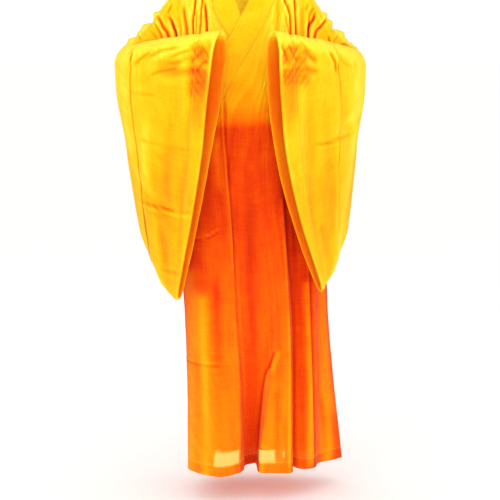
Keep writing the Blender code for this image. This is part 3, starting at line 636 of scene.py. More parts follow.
def hermite(
    keys: np.ndarray,
    start: np.ndarray,
    end: np.ndarray,
    start_slope: np.ndarray,
    end_slope: np.ndarray,
    span: np.ndarray,
    at: np.ndarray,
) -> np.ndarray:
    """A cubic between two keys, from their values and slopes.

    Args:
        keys: places, rising.
        start: value at the span's first key.
        end: value at its second key.
        start_slope: slope at the first key.
        end_slope: slope at the second key.
        span: which span each place is in.
        at: the places to read.

    Returns:
        The values there.
    """
    step = keys[span + 1] - keys[span]
    share = (at - keys[span]) / step
    extra = (1,) * (start.ndim - share.ndim)
    share, step = share.reshape(share.shape + extra), step.reshape(step.shape + extra)
    return (
        (2 * share**3 - 3 * share**2 + 1) * start
        + (share**3 - 2 * share**2 + share) * step * start_slope
        + (3 * share**2 - 2 * share**3) * end
        + (share**3 - share**2) * step * end_slope
    )


def grid_normals(points: np.ndarray, closed: bool = False) -> np.ndarray:
    """Directions square to a grid of points, turned outwards from its middle.

    Args:
        points: rows by columns by three.
        closed: whether the last column meets the first.

    Returns:
        Unit directions, in the grid's own shape.
    """
    along = np.gradient(points, axis=0)
    if closed:
        across = np.roll(points, -1, 1) - np.roll(points, 1, 1)
    else:
        across = np.gradient(points, axis=1)
    normals = np.cross(across, along)
    normals /= np.maximum(np.linalg.norm(normals, axis=2, keepdims=True), 1e-12)
    middle = points.mean(axis=1, keepdims=True) if closed else np.array((0, BODY_MIDDLE_Y, 0))
    outward = (normals * (points - middle))[..., :2].sum(axis=2).mean()
    return normals if outward > 0 else -normals


def path_distance(flat: np.ndarray, path: np.ndarray) -> tuple[np.ndarray, np.ndarray]:
    """How far points are from a path, and how far along it they lie.

    Args:
        flat: points as x and z, in any shape ending in two.
        path: the path's own points.

    Returns:
        The distance, and the share of the path's length at the nearest place.
    """
    lengths = np.linalg.norm(np.diff(path, axis=0), axis=1)
    before = np.concatenate(((0,), np.cumsum(lengths)))
    nearest = np.full(flat.shape[:-1], np.inf)
    share = np.zeros(flat.shape[:-1])
    for i, length in enumerate(lengths):
        run = path[i + 1] - path[i]
        offset = flat - path[i]
        t = np.clip((offset @ run) / (length * length), 0, 1)
        away = np.linalg.norm(offset - t[..., None] * run, axis=-1)
        closer = away < nearest
        nearest = np.where(closer, away, nearest)
        share = np.where(closer, (before[i] + t * length) / before[-1], share)
    return nearest, share


def rounded(path: tuple[tuple[float, float], ...]) -> np.ndarray:
    """A path with its corners eased, so that a crease bends softly.

    Args:
        path: the path's points.

    Returns:
        More points, on a smooth curve through them.
    """
    points = np.array(path, float)
    if len(points) < 3:
        return points
    keys = np.arange(len(points), dtype=float)
    return through(keys, points, np.linspace(0, keys[-1], 5 * len(points)))


def press(
    points: np.ndarray, normals: np.ndarray, creases: tuple[Crease, ...], weight: np.ndarray
) -> tuple[np.ndarray, np.ndarray]:
    """Press creases into a surface, each a trough with a low ridge on both sides.

    Args:
        points: the surface, rows by columns by three.
        normals: its outward directions.
        creases: what to press, in front view.
        weight: how much of each crease a point takes, from 0 to 1.

    Returns:
        The pressed surface, and the painted shade in its troughs, less a painted highlight on their ridges.
    """
    flat = points[..., (0, 2)]
    depth = np.zeros(flat.shape[:-1])
    dye = np.zeros(flat.shape[:-1])
    for crease in creases:
        away, share = path_distance(flat, rounded(crease.path))
        near = away / crease.reach
        fade = soft_step(share / 0.25) * soft_step((1 - share) / 0.25) if crease.fades else 1.0
        trough = np.exp(-near * near) * fade
        ridge = np.exp(-(((near - RIDGE_PLACE) / RIDGE_WIDTH) ** 2)) * fade
        depth += crease.depth * (trough - RIDGE_HEIGHT * ridge)
        core = np.exp(-SHADE_FOCUS * near * near) * fade
        dye += crease.dye * (core - RIDGE_HIGHLIGHT * ridge)
    return points - normals * (depth * weight)[..., None], dye * weight


def thin_places(points: np.ndarray) -> np.ndarray:
    """How far the front's cloth lets light through in the bright places above the hem.

    Args:
        points: the front's surface.

    Returns:
        From 0 to 1 at each point.
    """
    thin = np.zeros(points.shape[:-1])
    x, z = points[..., 0], points[..., 2]
    for place in THIN_PLACES:
        slant = 0.10 * (x - place.left)
        across = soft_step((x - place.left) / 0.004) * soft_step((place.right - x) / 0.004)
        up = soft_step((place.high - slant - z) / 0.006) * soft_step((z - place.low) / 0.006)
        thin = np.maximum(thin, across * up)
    return thin


def ripple(u: np.ndarray, v: np.ndarray, lengths: tuple[float, float], seed: int) -> np.ndarray:
    """An uneven, repeatable waviness of about unit height.

    Args:
        u: metres across the cloth.
        v: metres along the cloth.
        lengths: how long the waves are across and along, in metres.
        seed: which of many patterns.

    Returns:
        Heights, mostly from -1 to 1.
    """
    source = np.random.default_rng(seed)
    height = np.zeros(np.broadcast(u, v).shape)
    for _ in range(9):
        stretch = source.uniform(0.6, 1.9)
        turn = source.uniform(-0.5, 0.5)
        phase = source.uniform(0, 2 * math.pi)
        across = 2 * math.pi * u / (lengths[0] * stretch)
        along = 2 * math.pi * v / (lengths[1] * stretch)
        height += np.sin(across * math.cos(turn) + along * math.sin(turn) * 2 + along + phase)
    return height / 4


class BodyForm:
    """The worn body's surface: level sections above the waist, fold lines below it."""

    def __init__(self) -> None:
        """Keep both faces' fold tables and their spacing at knee height."""
        self.folds = {Side.FRONT: FRONT_FOLDS, Side.BACK: BACK_FOLDS}
        self.spacing = {side: self._spacing(side) for side in Side}

    def _spacing(self, side: Side) -> np.ndarray:
        """Where the fold lines stand along the curve at knee height, in metres."""
        line = self.plan(side, np.array((KNEE,)))[0]
        return np.concatenate(((0,), np.cumsum(np.linalg.norm(np.diff(line, axis=0), axis=1))))

    def section(self, name: str, z: np.ndarray) -> np.ndarray:
        """One size of the level sections, at each height."""
        return through(-column(SECTIONS, "z"), column(SECTIONS, name), -z)

    def torso_plan(self, side: Side, z: np.ndarray) -> np.ndarray:
        """The plan curve's points above the waist.

        Args:
            side: which face of the body.
            z: heights.

        Returns:
            Heights by fold lines by x and y.
        """
        waist = np.array((WAIST,))
        reach = column(self.folds[side], "waist_x") - self.section("shift", waist)
        reach = np.clip(reach / self.section("half_width", waist), -1, 1)
        turn = np.arcsin(np.sign(reach) * np.abs(reach) ** (1 / SECTION_POWER))
        width = np.sign(turn) * np.abs(np.sin(turn)) ** SECTION_POWER
        x = self.section("shift", z)[:, None] + self.section("half_width", z)[:, None] * width
        depth = self.section(side.value, z)[:, None] * np.abs(np.cos(turn)) ** SECTION_POWER
        return np.stack((x, -depth if side is Side.FRONT else depth), axis=2)

    def skirt_plan(self, side: Side, z: np.ndarray) -> np.ndarray:
        """The plan curve's points below the waist.

        Args:
            side: which face of the body.
            z: heights.

        Returns:
            Heights by fold lines by x and y.
        """
        folds = self.folds[side]
        levels = np.array((0, WAIST - HIP, WAIST - KNEE, WAIST - HEM))
        waist_y = self.torso_plan(side, np.array((WAIST,)))[0, :, 1]
        xs = np.array([column(folds, name) for name in ("waist_x", "hip_x", "knee_x", "hem_x")])
        ys = np.array([waist_y] + [column(folds, name) for name in ("hip_y", "knee_y", "hem_y")])
        drop = WAIST - z
        return np.stack((through(levels, xs, drop), through(levels, ys, drop)), axis=2)

    def plan(self, side: Side, z: np.ndarray) -> np.ndarray:
        """The plan curve's points at each height.

        Args:
            side: which face of the body.
            z: heights.

        Returns:
            Heights by fold lines by x and y.
        """
        above = self.torso_plan(side, np.maximum(z, WAIST))
        below = self.skirt_plan(side, np.minimum(z, WAIST))
        return np.where((z >= WAIST)[:, None, None], above, below)

    def grid(self, side: Side, places: np.ndarray, z: np.ndarray) -> np.ndarray:
        """The surface at places counted in fold lines from the first.

        Args:
            side: which face of the body.
            places: heights by columns.
            z: heights.

        Returns:
            Heights by columns by three.
        """
        spacing = self.spacing[side]
        lines = np.swapaxes(self.plan(side, z), 0, 1)
        slopes = np.gradient(lines, spacing, axis=0)
        along = np.interp(places, np.arange(len(spacing)), spacing)
        span = np.clip(np.searchsorted(spacing, along) - 1, 0, len(spacing) - 2)
        rows = np.arange(len(z))[:, None]
        flat = hermite(
            spacing,
            lines[span, rows],
            lines[span + 1, rows],
            slopes[span, rows],
            slopes[span + 1, rows],
            span,
            along,
        )
        height = np.broadcast_to(z[:, None], places.shape)
        return np.concatenate((flat, height[..., None]), axis=2)

    def place_at_x(self, side: Side, x: float, z: float) -> float:
        """Where along the fold lines the surface has this x.

        Args:
            side: which face of the body.
            x: the place to find.
            z: at which height.

        Returns:
            The place, counted in fold lines from the first.
        """
        xs = self.plan(side, np.array((z,)))[0, :, 0]
        order = np.argsort(xs)
        return float(np.interp(x, xs[order], np.arange(len(xs))[order]))

    def side_place(self, side: Side, hand: Hand, z: float) -> float:
        """Where a panel ends at one hand: at the armhole, or below it at the side seam.

        Args:
            side: which face of the body.
            hand: at which hand.
            z: at which height.

        Returns:
            The place, counted in fold lines from the first.
        """
        last = len(self.folds[side]) - 1
        first_hand = Hand.LEFT if side is Side.BACK else Hand.RIGHT
        end = 0 if hand is first_hand else last
        middle = (ARMHOLE_TOP + ARMHOLE_BOTTOM) / 2
        half_height = (ARMHOLE_TOP - ARMHOLE_BOTTOM) / 2
        round_share = 1 - ((z - middle) / half_height) ** 2
        if round_share <= 0:
            return float(end)
        y = np.abs(self.plan(side, np.array((z,)))[0, :, 1])
        half = np.arange(last // 2 + 1) if end == 0 else np.arange(last, last // 2 - 1, -1)
        return float(np.interp(ARMHOLE_REACH * math.sqrt(round_share), y[half], half))

    def rim_point(self, hand: Hand, drop: float, layer: float) -> np.ndarray:
        """A point of the armhole's rim.

        Args:
            hand: which armhole.
            drop: share of its height below the top.
            layer: 1 or -1, the side of the arm that it is on.

        Returns:
            x, y and z.
        """
        z = ARMHOLE_TOP + (ARMHOLE_BOTTOM - ARMHOLE_TOP) * drop
        z = min(max(z, ARMHOLE_BOTTOM + ARMHOLE_LIP), ARMHOLE_TOP - ARMHOLE_LIP)
        side = Side.FRONT if (layer > 0) == (hand is Hand.LEFT) else Side.BACK
        place = np.array([[self.side_place(side, hand, z)]])
        return self.grid(side, place, np.array((z,)))[0, 0]

    def set_in(self, points: np.ndarray, distance: np.ndarray) -> np.ndarray:
        """Points moved level towards the middle of the body.

        Args:
            points: in any shape ending in three.
            distance: how far each one moves.

        Returns:
            The moved points.
        """
        z = points[..., 2]
        shift = self.section("shift", np.maximum(z, WAIST).ravel()).reshape(z.shape)
        inward = np.stack((shift, np.full(z.shape, BODY_MIDDLE_Y), z), axis=-1) - points
        inward /= np.linalg.norm(inward, axis=-1, keepdims=True)
        return points + inward * np.asarray(distance)[..., None]


# ---- cloth as a mesh --------------------------------------------------------------------


@dataclass
class Cloth:
    """One surface of cloth with its tone and painted shade, on its way to being a piece."""

    points: np.ndarray
    dye: np.ndarray
    closed: bool = False
    sheer: np.ndarray | None = None

    def laid(self, values: np.ndarray) -> np.ndarray:
        """A grid's values with the first column again at the end, where the cloth is closed."""
        return np.concatenate((values, values[:, :1]), axis=1) if self.closed else values

    def threads(self) -> np.ndarray:
        """The threads' own map of the cloth.

        Returns:
            For each point, metres across and along the cloth.
        """
        points = self.laid(self.points)
        across = np.linalg.norm(np.diff(points, axis=1), axis=2).cumsum(axis=1)
        across = np.concatenate((np.zeros((len(points), 1)), across), axis=1)
        across -= across[:, across.shape[1] // 2][:, None]
        along = np.linalg.norm(np.diff(points, axis=0), axis=2).cumsum(axis=0)
        along = np.concatenate((np.zeros((1, points.shape[1])), along), axis=0)
        return np.stack((across, along), axis=2).reshape(-1, 2)

    def build(self, name: str, thickness: float, finish: bpy.types.Material) -> bpy.types.Object:
        """A thin closed shell of the cloth, riding on the robe.

        Args:
            name: the piece's name.
            thickness: in metres.
            finish: its material.

        Returns:
            The finished piece.
        """
        points = self.laid(self.points)
        rows, columns = points.shape[:2]
        bpy.ops.object.select_all(action="DESELECT")
        bpy.ops.mesh.primitive_grid_add(x_subdivisions=columns - 1, y_subdivisions=rows - 1, size=1)
        piece = bpy.context.active_object
        piece.name = piece.data.name = name
        mesh = piece.data
        mesh.vertices.foreach_set("co", np.ascontiguousarray(points, dtype=np.float32).ravel())
        mesh.uv_layers[0].name = "threads"
        corners = np.empty(len(mesh.loops), dtype=np.int32)
        mesh.loops.foreach_get("vertex_index", corners)
        uv = self.threads()[corners].astype(np.float32)
        mesh.uv_layers["threads"].data.foreach_set("uv", uv.ravel())
        sheer = np.zeros(self.dye.shape) if self.sheer is None else self.sheer
        # the colour depth, mostly painted shade and painted light, kept on the points for the material
        for label, values in (("dye", self.dye), ("sheer", sheer)):
            held = mesh.attributes.new(label, "FLOAT", "POINT")
            values = np.ascontiguousarray(self.laid(values), dtype=np.float32)
            held.data.foreach_set("value", values.ravel())
        mesh.materials.append(finish)
        if self.closed:
            self.join_round(piece)
        wall = piece.modifiers.new("wall", "SOLIDIFY")
        wall.thickness = thickness
        wall.offset = 0
        wall.use_rim = True
        bpy.ops.object.modifier_apply(modifier=wall.name)
        bpy.ops.object.mode_set(mode="EDIT")
        bpy.ops.mesh.select_all(action="SELECT")
        bpy.ops.mesh.normals_make_consistent(inside=False)
        bpy.ops.object.mode_set(mode="OBJECT")
        bpy.ops.object.shade_smooth()
        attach(piece, "root")
        return piece

    def join_round(self, piece: bpy.types.Object) -> None:
        """Close a ring of cloth by joining its last column of points to its first.

        Args:
            piece: the ring, not used.
        """
        bpy.ops.object.mode_set(mode="EDIT")
        bpy.ops.mesh.select_all(action="SELECT")
        bpy.ops.mesh.remove_doubles(threshold=1e-7)
        bpy.ops.object.mode_set(mode="OBJECT")


def sewn(
    name: str, lines: list[tuple[np.ndarray, np.ndarray]], finish: bpy.types.Material
) -> bpy.types.Object:
    """Rows of running stitches, joined in one mesh.

    Args:
        name: the piece's name.
        lines: each row's points and the outward directions there.
        finish: the thread's material.

    Returns:
        The finished piece.
    """
    points: list[tuple[float, float, float]] = []
    faces: list[tuple[int, ...]] = []
    for path, outward in lines:
        lengths = np.linalg.norm(np.diff(path, axis=0), axis=1)
        before = np.concatenate(((0,), np.cumsum(lengths)))
        for start in np.arange(STITCH_STEP / 2, before[-1] - STITCH, STITCH_STEP):
            add_stitch(points, faces, (path, outward, before), start)
    mesh = bpy.data.meshes.new(name)
    mesh.from_pydata(points, [], faces)
    mesh.shade_smooth()
    mesh.materials.append(finish)
    piece = bpy.data.objects.new(name, mesh)
    bpy.context.scene.collection.objects.link(piece)
    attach(piece, "root")
    return piece


def add_stitch(
    points: list[tuple[float, float, float]],
    faces: list[tuple[int, ...]],
    row: tuple[np.ndarray, np.ndarray, np.ndarray],
    start: float,
) -> None:
    """Add one stitch, a thread that rises out of the cloth and goes back in.

    Args:
        points: the mesh's points so far, added to.
        faces: its faces so far, added to.
        row: the row's points, its outward directions and the length before each point.
        start: how far along the row the stitch begins.
    """
    path, outward, before = row
    heights = (-0.0004, 0.0003, 0.0003, -0.0004)
    first = len(points)
    for share, height in zip((0.0, 0.25, 0.75, 1.0), heights):
        at = start + share * STITCH
        centre = np.array([np.interp(at, before, path[:, k]) for k in range(3)])
        up = np.array([np.interp(at, before, outward[:, k]) for k in range(3)])
        ahead = np.array([np.interp(at + 0.001, before, path[:, k]) for k in range(3)]) - centre
        aside = np.cross(up, ahead)
        aside /= max(np.linalg.norm(aside), 1e-12)
        centre = centre + up * height
        for out, wide in ((1, 0), (0, 1), (-1, 0), (0, -1)):
            points.append(tuple(centre + (up * out + aside * wide) * HALF_THREAD))
    for ring in range(3):
        for k in range(4):
            a, b = first + 4 * ring + k, first + 4 * ring + (k + 1) % 4
            faces.append((a, a + 4, b + 4, b))
    faces.append((first, first + 1, first + 2, first + 3))
    faces.append((first + 15, first + 14, first + 13, first + 12))


# ---- finishes ---------------------------------------------------------------------------


def linear(hex_colour: str) -> tuple[float, float, float, float]:
    """A #RRGGBB colour as linear values with full alpha.

    Args:
        hex_colour: the sRGB colour.

    Returns:
        Red, green, blue and alpha.
    """
    shares = [int(hex_colour[i : i + 2], 16) / 255 for i in (1, 3, 5)]
    made = [c / 12.92 if c <= 0.04045 else ((c + 0.055) / 1.055) ** 2.4 for c in shares]
    return (*made, 1.0)


def add_node(
    tree: bpy.types.NodeTree, kind: str, settings: dict | None = None, inputs: dict | None = None
) -> bpy.types.Node:
    """Add a node with its settings, socket values and links.

    Args:
        tree: the material's nodes.
        kind: the node's type.
        settings: properties to set.
        inputs: for each socket, a value or another node's output socket.

    Returns:
        The node.
    """
    node = tree.nodes.new(kind)
    for key, value in (settings or {}).items():
        setattr(node, key, value)
    for key, value in (inputs or {}).items():
        if isinstance(value, bpy.types.NodeSocket):
            tree.links.new(value, node.inputs[key])
        else:
            node.inputs[key].default_value = value
    return node


@dataclass(frozen=True)
class SheerCotton:
    """Thin plain-woven cotton, piece-dyed saffron.

    Light falls through it as well as on it, so it glows where one layer stands before the light.
    Its colour turns from yellow to red-orange with a painted shade read from the mesh, deeper in folds,
    hollows and where layers lie behind.
    """

    name: str = "saffron cotton voile"
    # colours from the cloth's yellow to the red-orange of the deepest painted shade
    shades: tuple[tuple[float, str], ...] = (
        (0.00, "#FFF648"),
        (0.07, "#FFE424"),
        (0.20, "#FFD00C"),
        (0.40, "#FFA206"),
        (0.60, "#FF7804"),
        (0.80, "#F04A06"),
        (1.00, "#CC2E04"),
    )
    gap_shade: str = "#FFF4BC"  # what the gaps and the thinnest threads let through
    seen_through: float = 0.14  # share of each face that is gaps between threads
    lit_through: float = 0.36  # share of the thread that scatters light on through
    roughness: float = 0.88
    sheen: float = 0.06
    thread_mm: float = 2.4  # drawn coarser than the real 0.4 mm, which is too fine to show
    slub_mm: tuple[float, float] = (5.0, 60.0)
    slub_dye: float = 0.05  # how far the colour depth swings along the slubs
    cloud_mm: float = 42.0  # where the dye took unevenly
    cloud_dye: float = 0.025
    weave_depth: float = 0.00012

    def make(self) -> bpy.types.Material:
        """The material, with its colour from how deep the painted shade lies.

        Returns:
            The cotton.
        """
        made = bpy.data.materials.new(self.name)
        made.use_nodes = True
        tree = made.node_tree
        tree.nodes.clear()
        cloth = add_node(tree, "ShaderNodeUVMap", {"uv_map": "threads"})
        slubs = self.slubs(tree, cloth.outputs["UV"])
        colour = self.colour(tree, cloth.outputs["UV"], slubs)
        bump = self.weave(tree, cloth.outputs["UV"], slubs)
        thread = add_node(
            tree,
            "ShaderNodeBsdfPrincipled",
            None,
            {
                "Base Color": colour,
                "Roughness": self.roughness,
                "Sheen Weight": self.sheen,
                "Sheen Roughness": 0.5,
                "Specular IOR Level": 0.1,
                "Normal": bump,
            },
        )
        glow = add_node(tree, "ShaderNodeBsdfTranslucent", None, {"Color": colour, "Normal": bump})
        lit = add_node(
            tree,
            "ShaderNodeMixShader",
            None,
            {0: self.lit_through, 1: thread.outputs[0], 2: glow.outputs[0]},
        )
        gap = add_node(tree, "ShaderNodeBsdfTransparent", None, {"Color": linear(self.gap_shade)})
        sheer = add_node(tree, "ShaderNodeAttribute", {"attribute_name": "sheer"})
        gaps = add_node(
            tree, "ShaderNodeMath", {"operation": "ADD"}, {0: sheer.outputs["Fac"], 1: self.seen_through}
        )
        whole = add_node(
            tree, "ShaderNodeMixShader", None, {0: gaps.outputs[0], 1: lit.outputs[0], 2: gap.outputs[0]}
        )
        add_node(tree, "ShaderNodeOutputMaterial", None, {"Surface": whole.outputs[0]})
        return made

    def cloudy(
        self, tree: bpy.types.NodeTree, uv: bpy.types.NodeSocket, across_mm: float, along_mm: float
    ) -> bpy.types.NodeSocket:
        """Noise whose clouds have the given real size.

        Args:
            tree: the material's nodes.
            uv: metres across and along the cloth.
            across_mm: the clouds' width.
            along_mm: their length.

        Returns:
            The noise, from 0 to 1.
        """
        scale = (1000 / across_mm, 1000 / along_mm, 1)
        stretched = add_node(tree, "ShaderNodeMapping", None, {"Vector": uv, "Scale": scale})
        settings = {"Vector": stretched.outputs[0], "Scale": 1.0, "Detail": 3.0, "Roughness": 0.6}
        return add_node(tree, "ShaderNodeTexNoise", None, settings).outputs["Fac"]

    def slubs(self, tree: bpy.types.NodeTree, uv: bpy.types.NodeSocket) -> bpy.types.NodeSocket:
        """Uneven thicker threads in the warp and in the weft.

        Args:
            tree: the material's nodes.
            uv: metres across and along the cloth.

        Returns:
            How thick the thread is, from 0 to 1.
        """
        width, length = self.slub_mm
        warp = self.cloudy(tree, uv, width, length)
        weft = self.cloudy(tree, uv, length, width)
        both = add_node(tree, "ShaderNodeMath", {"operation": "ADD"}, {0: warp, 1: weft})
        return add_node(
            tree, "ShaderNodeMath", {"operation": "MULTIPLY"}, {0: both.outputs[0], 1: 0.5}
        ).outputs[0]

    def colour(
        self, tree: bpy.types.NodeTree, uv: bpy.types.NodeSocket, slubs: bpy.types.NodeSocket
    ) -> bpy.types.NodeSocket:
        """Painted shade depth turned to colour, uneven along the slubs and in broad clouds.

        Args:
            tree: the material's nodes.
            uv: metres across and along the cloth.
            slubs: how thick the thread is.

        Returns:
            The colour.
        """
        depth = add_node(tree, "ShaderNodeAttribute", {"attribute_name": "dye"}).outputs["Fac"]
        clouds = self.cloudy(tree, uv, self.cloud_mm, self.cloud_mm * 1.4)
        for noise, share in ((slubs, self.slub_dye), (clouds, self.cloud_dye)):
            spread = {"Value": noise, "From Min": 0.35, "From Max": 0.65, "To Min": -share, "To Max": share}
            uneven = add_node(tree, "ShaderNodeMapRange", None, spread).outputs[0]
            both = add_node(tree, "ShaderNodeMath", {"operation": "ADD"}, {0: depth, 1: uneven})
            depth = both.outputs[0]
        ramp = add_node(tree, "ShaderNodeValToRGB", None, {"Fac": depth})
        stops = ramp.color_ramp.elements
        while len(stops) < len(self.shades):
            stops.new(0.5)
        for stop, (place, shade) in zip(stops, self.shades):
            stop.position = place
            stop.color = linear(shade)
        return ramp.outputs["Color"]

    def weave(
        self, tree: bpy.types.NodeTree, uv: bpy.types.NodeSocket, slubs: bpy.types.NodeSocket
    ) -> bpy.types.NodeSocket:
        """Warp and weft as two sets of fine ribs, with the slubs standing out.

        Args:
            tree: the material's nodes.
            uv: metres across and along the cloth.
            slubs: how thick the thread is.

        Returns:
            The bumped normal.
        """
        ribs = []
        for direction in ("X", "Y"):
            wave = add_node(
                tree,
                "ShaderNodeTexWave",
                {"bands_direction": direction, "wave_profile": "SIN"},
                {"Vector": uv, "Scale": math.pi * 100 / self.thread_mm},
            )
            ribs.append(wave.outputs["Fac"])
        crossed = add_node(tree, "ShaderNodeMath", {"operation": "MULTIPLY"}, {0: ribs[0], 1: ribs[1]})
        height = add_node(
            tree,
            "ShaderNodeMath",
            {"operation": "MULTIPLY_ADD"},
            {0: slubs, 1: 1.5, 2: crossed.outputs[0]},
        )
        bump = add_node(
            tree,
            "ShaderNodeBump",
            None,
            {"Strength": 0.5, "Distance": self.weave_depth, "Height": height.outputs[0]},
        )
        return bump.outputs[0]


@dataclass(frozen=True)
class SewingThread:
    """Spun polyester sewing thread, slightly glossier and lighter than the cloth."""

    name: str = "saffron sewing thread"
    shade: str = "#FFE24A"
    deep_shade: str = "#FFC21E"
    roughness: float = 0.5

    def make(self) -> bpy.types.Material:
        """The material, twisted along its length.

        Returns:
            The thread.
        """
        made = bpy.data.materials.new(self.name)
        made.use_nodes = True
        tree = made.node_tree
        shader = tree.nodes["Principled BSDF"]
        spot = add_node(tree, "ShaderNodeTexCoord")
        twist = add_node(
            tree, "ShaderNodeTexNoise", None, {"Vector": spot.outputs["Object"], "Scale": 1500.0}
        )
        tone = add_node(tree, "ShaderNodeValToRGB", None, {"Fac": twist.outputs["Fac"]})
        light, dark = tone.color_ramp.elements
        light.position = 0.35
        light.color = linear(self.shade)
        dark.position = 0.65
        dark.color = linear(self.deep_shade)
        tree.links.new(tone.outputs["Color"], shader.inputs["Base Color"])
        shader.inputs["Roughness"].default_value = self.roughness
        return made


# ---- the robe's pieces ------------------------------------------------------------------




def moved(creases: tuple[Crease, ...], dx: float, dz: float, share: float) -> tuple[Crease, ...]:
    """The same creases at another place, for a side that is like the one in front.

    Args:
        creases: the ones to copy.
        dx: how far along X.
        dz: how far up.
        share: how deep the copies are, beside the first ones.

    Returns:
        The copies.
    """
    return tuple(
        Crease(
            tuple((x + dx, z + dz) for x, z in crease.path),
            crease.reach,
            crease.depth * share,
            crease.dye * share,
            crease.fades,
        )
        for crease in creases
    )


@dataclass
class Panels:
    """The body of the robe: outer front, under front and back, each with a turned hem."""

    body: BodyForm
    finish: bpy.types.Material
    thread: bpy.types.Material
    front_rows: tuple[int, int] = (124, 92)  # rows of the skirt, rows of the chest
    under_rows: tuple[int, int] = (60, 112)
    back_rows: tuple[int, int] = (100, 60)
    front_columns: int = 178
    under_columns: int = 160
    back_columns: int = 116
    over_corner: float = -0.527  # where the band's seam meets the outer front's free edge
    under_corner: float = -0.450
    under_edge_top: float = 0.100
    under_edge_hem: float = -0.078
    under_edge_curve: float = 0.8
    under_ramp: float = 0.9
    ripple_height: float = 0.0011
    hem_lines: list[tuple[np.ndarray, np.ndarray]] = field(default_factory=list)

    def heights(self, rows: tuple[int, int]) -> np.ndarray:
        """Heights of a panel's rows from the hem up, closest in the turned hem.

        Args:
            rows: how many in the skirt and in the chest.

        Returns:
            The heights.
        """
        hem = np.linspace(HEM, HEM + HEM_DEPTH, 9)[:-1]
        skirt = np.linspace(HEM + HEM_DEPTH, WAIST, rows[0])[:-1]
        turn = np.linspace(0, math.pi, rows[1])
        chest = WAIST + (PANEL_TOP - WAIST) * (1 - np.cos(turn)) / 2
        return np.concatenate((hem, skirt, chest))

    def under_edge(self, z: float) -> float:
        """x of the under front's free edge.

        Args:
            z: at which height.

        Returns:
            The x.
        """
        if z > self.under_corner:
            return min(self.under_edge_top, neck_x(UNDER_NECK, "seam_x", z) + BAND_LAP)
        down = ((self.under_corner - z) / (self.under_corner - HEM)) ** self.under_edge_curve
        return self.under_edge_top + (self.under_edge_hem - self.under_edge_top) * down

    def front_over(self) -> bpy.types.Object:
        """The outer front, from its free edge at the wearer's right to the left side seam.

        Returns:
            The finished piece.
        """
        z = self.heights(self.front_rows)
        starts, ends = [], []
        for height in z:
            start = 1.0
            if height > self.over_corner:
                seam = neck_x(OVER_NECK, "seam_x", height) - BAND_LAP
                start = max(start, self.body.place_at_x(Side.FRONT, seam, height))
            starts.append(start)
            ends.append(self.body.side_place(Side.FRONT, Hand.LEFT, height))
        share = np.linspace(0, 1, self.front_columns)
        places = np.array(starts)[:, None] + share * (np.array(ends) - starts)[:, None]
        points = self.body.grid(Side.FRONT, places, z)
        return self.dress("front_over", points, Side.FRONT, (0.72, 1.36), 0.66)

    def front_under(self) -> bpy.types.Object:
        """The under front, from the right side seam to its free edge behind the outer front.

        Returns:
            The finished piece.
        """
        z = self.heights(self.under_rows)
        starts = [self.body.side_place(Side.FRONT, Hand.RIGHT, height) for height in z]
        ends = [self.body.place_at_x(Side.FRONT, self.under_edge(height), height) for height in z]
        share = np.linspace(0, 1, self.under_columns)
        places = np.array(starts)[:, None] + share * (np.array(ends) - starts)[:, None]
        behind = np.minimum(1, (places - np.array(starts)[:, None]) / self.under_ramp)
        points = self.body.set_in(self.body.grid(Side.FRONT, places, z), LAYER_GAP * behind)
        return self.dress("front_under", points, Side.FRONT, (0.44, 1.36), 0.34)

    def back(self) -> bpy.types.Object:
        """The back, from the left side seam to the right one.

        Returns:
            The finished piece.
        """
        z = self.heights(self.back_rows)
        starts = np.array([self.body.side_place(Side.BACK, Hand.LEFT, height) for height in z])
        ends = np.array([self.body.side_place(Side.BACK, Hand.RIGHT, height) for height in z])
        share = np.linspace(0, 1, self.back_columns)
        places = starts[:, None] + share * (ends - starts)[:, None]
        points = self.body.grid(Side.BACK, places, z)
        return self.dress("back", points, Side.BACK, (0.66, 1.36), 0.70)

    def dress(
        self,
        name: str,
        points: np.ndarray,
        side: Side,
        flat: tuple[float, float],
        area: float,
    ) -> bpy.types.Object:
        """Press, colour, hem and build one panel.

        Args:
            name: the panel's node, which its piece is named for.
            points: its smooth surface.
            side: the face of the body that it lies on.
            flat: width and length of its cut.
            area: the cut's own area, not used.

        Returns:
            The finished piece.
        """
        normals = grid_normals(points)
        forward = -1 if side is Side.FRONT else 1
        facing = soft_step((normals[..., 1] * forward + 0.15) / 0.5)
        z = points[..., 2]
        # painted shade by height, and in the skirt's hollows
        dye = shade_at(BODY_SHADE, z) + self.valley(points, side)
        if side is Side.FRONT:
            tables = (YOKE_CREASES, SKIRT_CREASES, FRONT_TINTS)
        else:
            tables = (BACK_CREASES, moved(YOKE_CREASES, 0.004, -0.015, 0.7))
        pressed = points
        for table in tables:
            pressed, deeper = press(pressed, normals, table, facing)
            dye = dye + deeper
        across = np.linspace(0, 1, points.shape[1]) * np.ones_like(z) * flat[0]
        waves = ripple(across, z, (0.045, 0.60), len(name))
        small = ripple(across, z, (0.020, 0.12), len(name) + 7)
        calm = soft_step((PANEL_TOP - z) / 0.08)
        pressed = pressed + normals * (self.ripple_height * calm * (waves + 0.25 * small))[..., None]
        # painted shade and light that follow the waves
        dye = dye - 0.03 * waves * calm
        thin = thin_places(pressed) if side is Side.FRONT else np.zeros_like(dye)
        piece = self.hemmed(pressed, normals, dye, thin).build(f"{name}_cloth", CLOTH, self.finish)
        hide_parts(name)
        return piece

    def valley(self, points: np.ndarray, side: Side) -> np.ndarray:
        """Painted shade: how much deeper the colour lies in the skirt's hollows than on its crowns.

        Args:
            points: a panel's surface.
            side: the face of the body that it lies on.

        Returns:
            What to add to the colour depth.
        """
        below = soft_step((WAIST - points[..., 2]) / 0.15)
        if side is Side.FRONT:
            return 0.16 * below * np.clip((points[..., 1] + 0.150) / 0.10, -0.2, 1)
        return 0.13 * below * np.clip((0.145 - points[..., 1]) / 0.05, -0.3, 1)

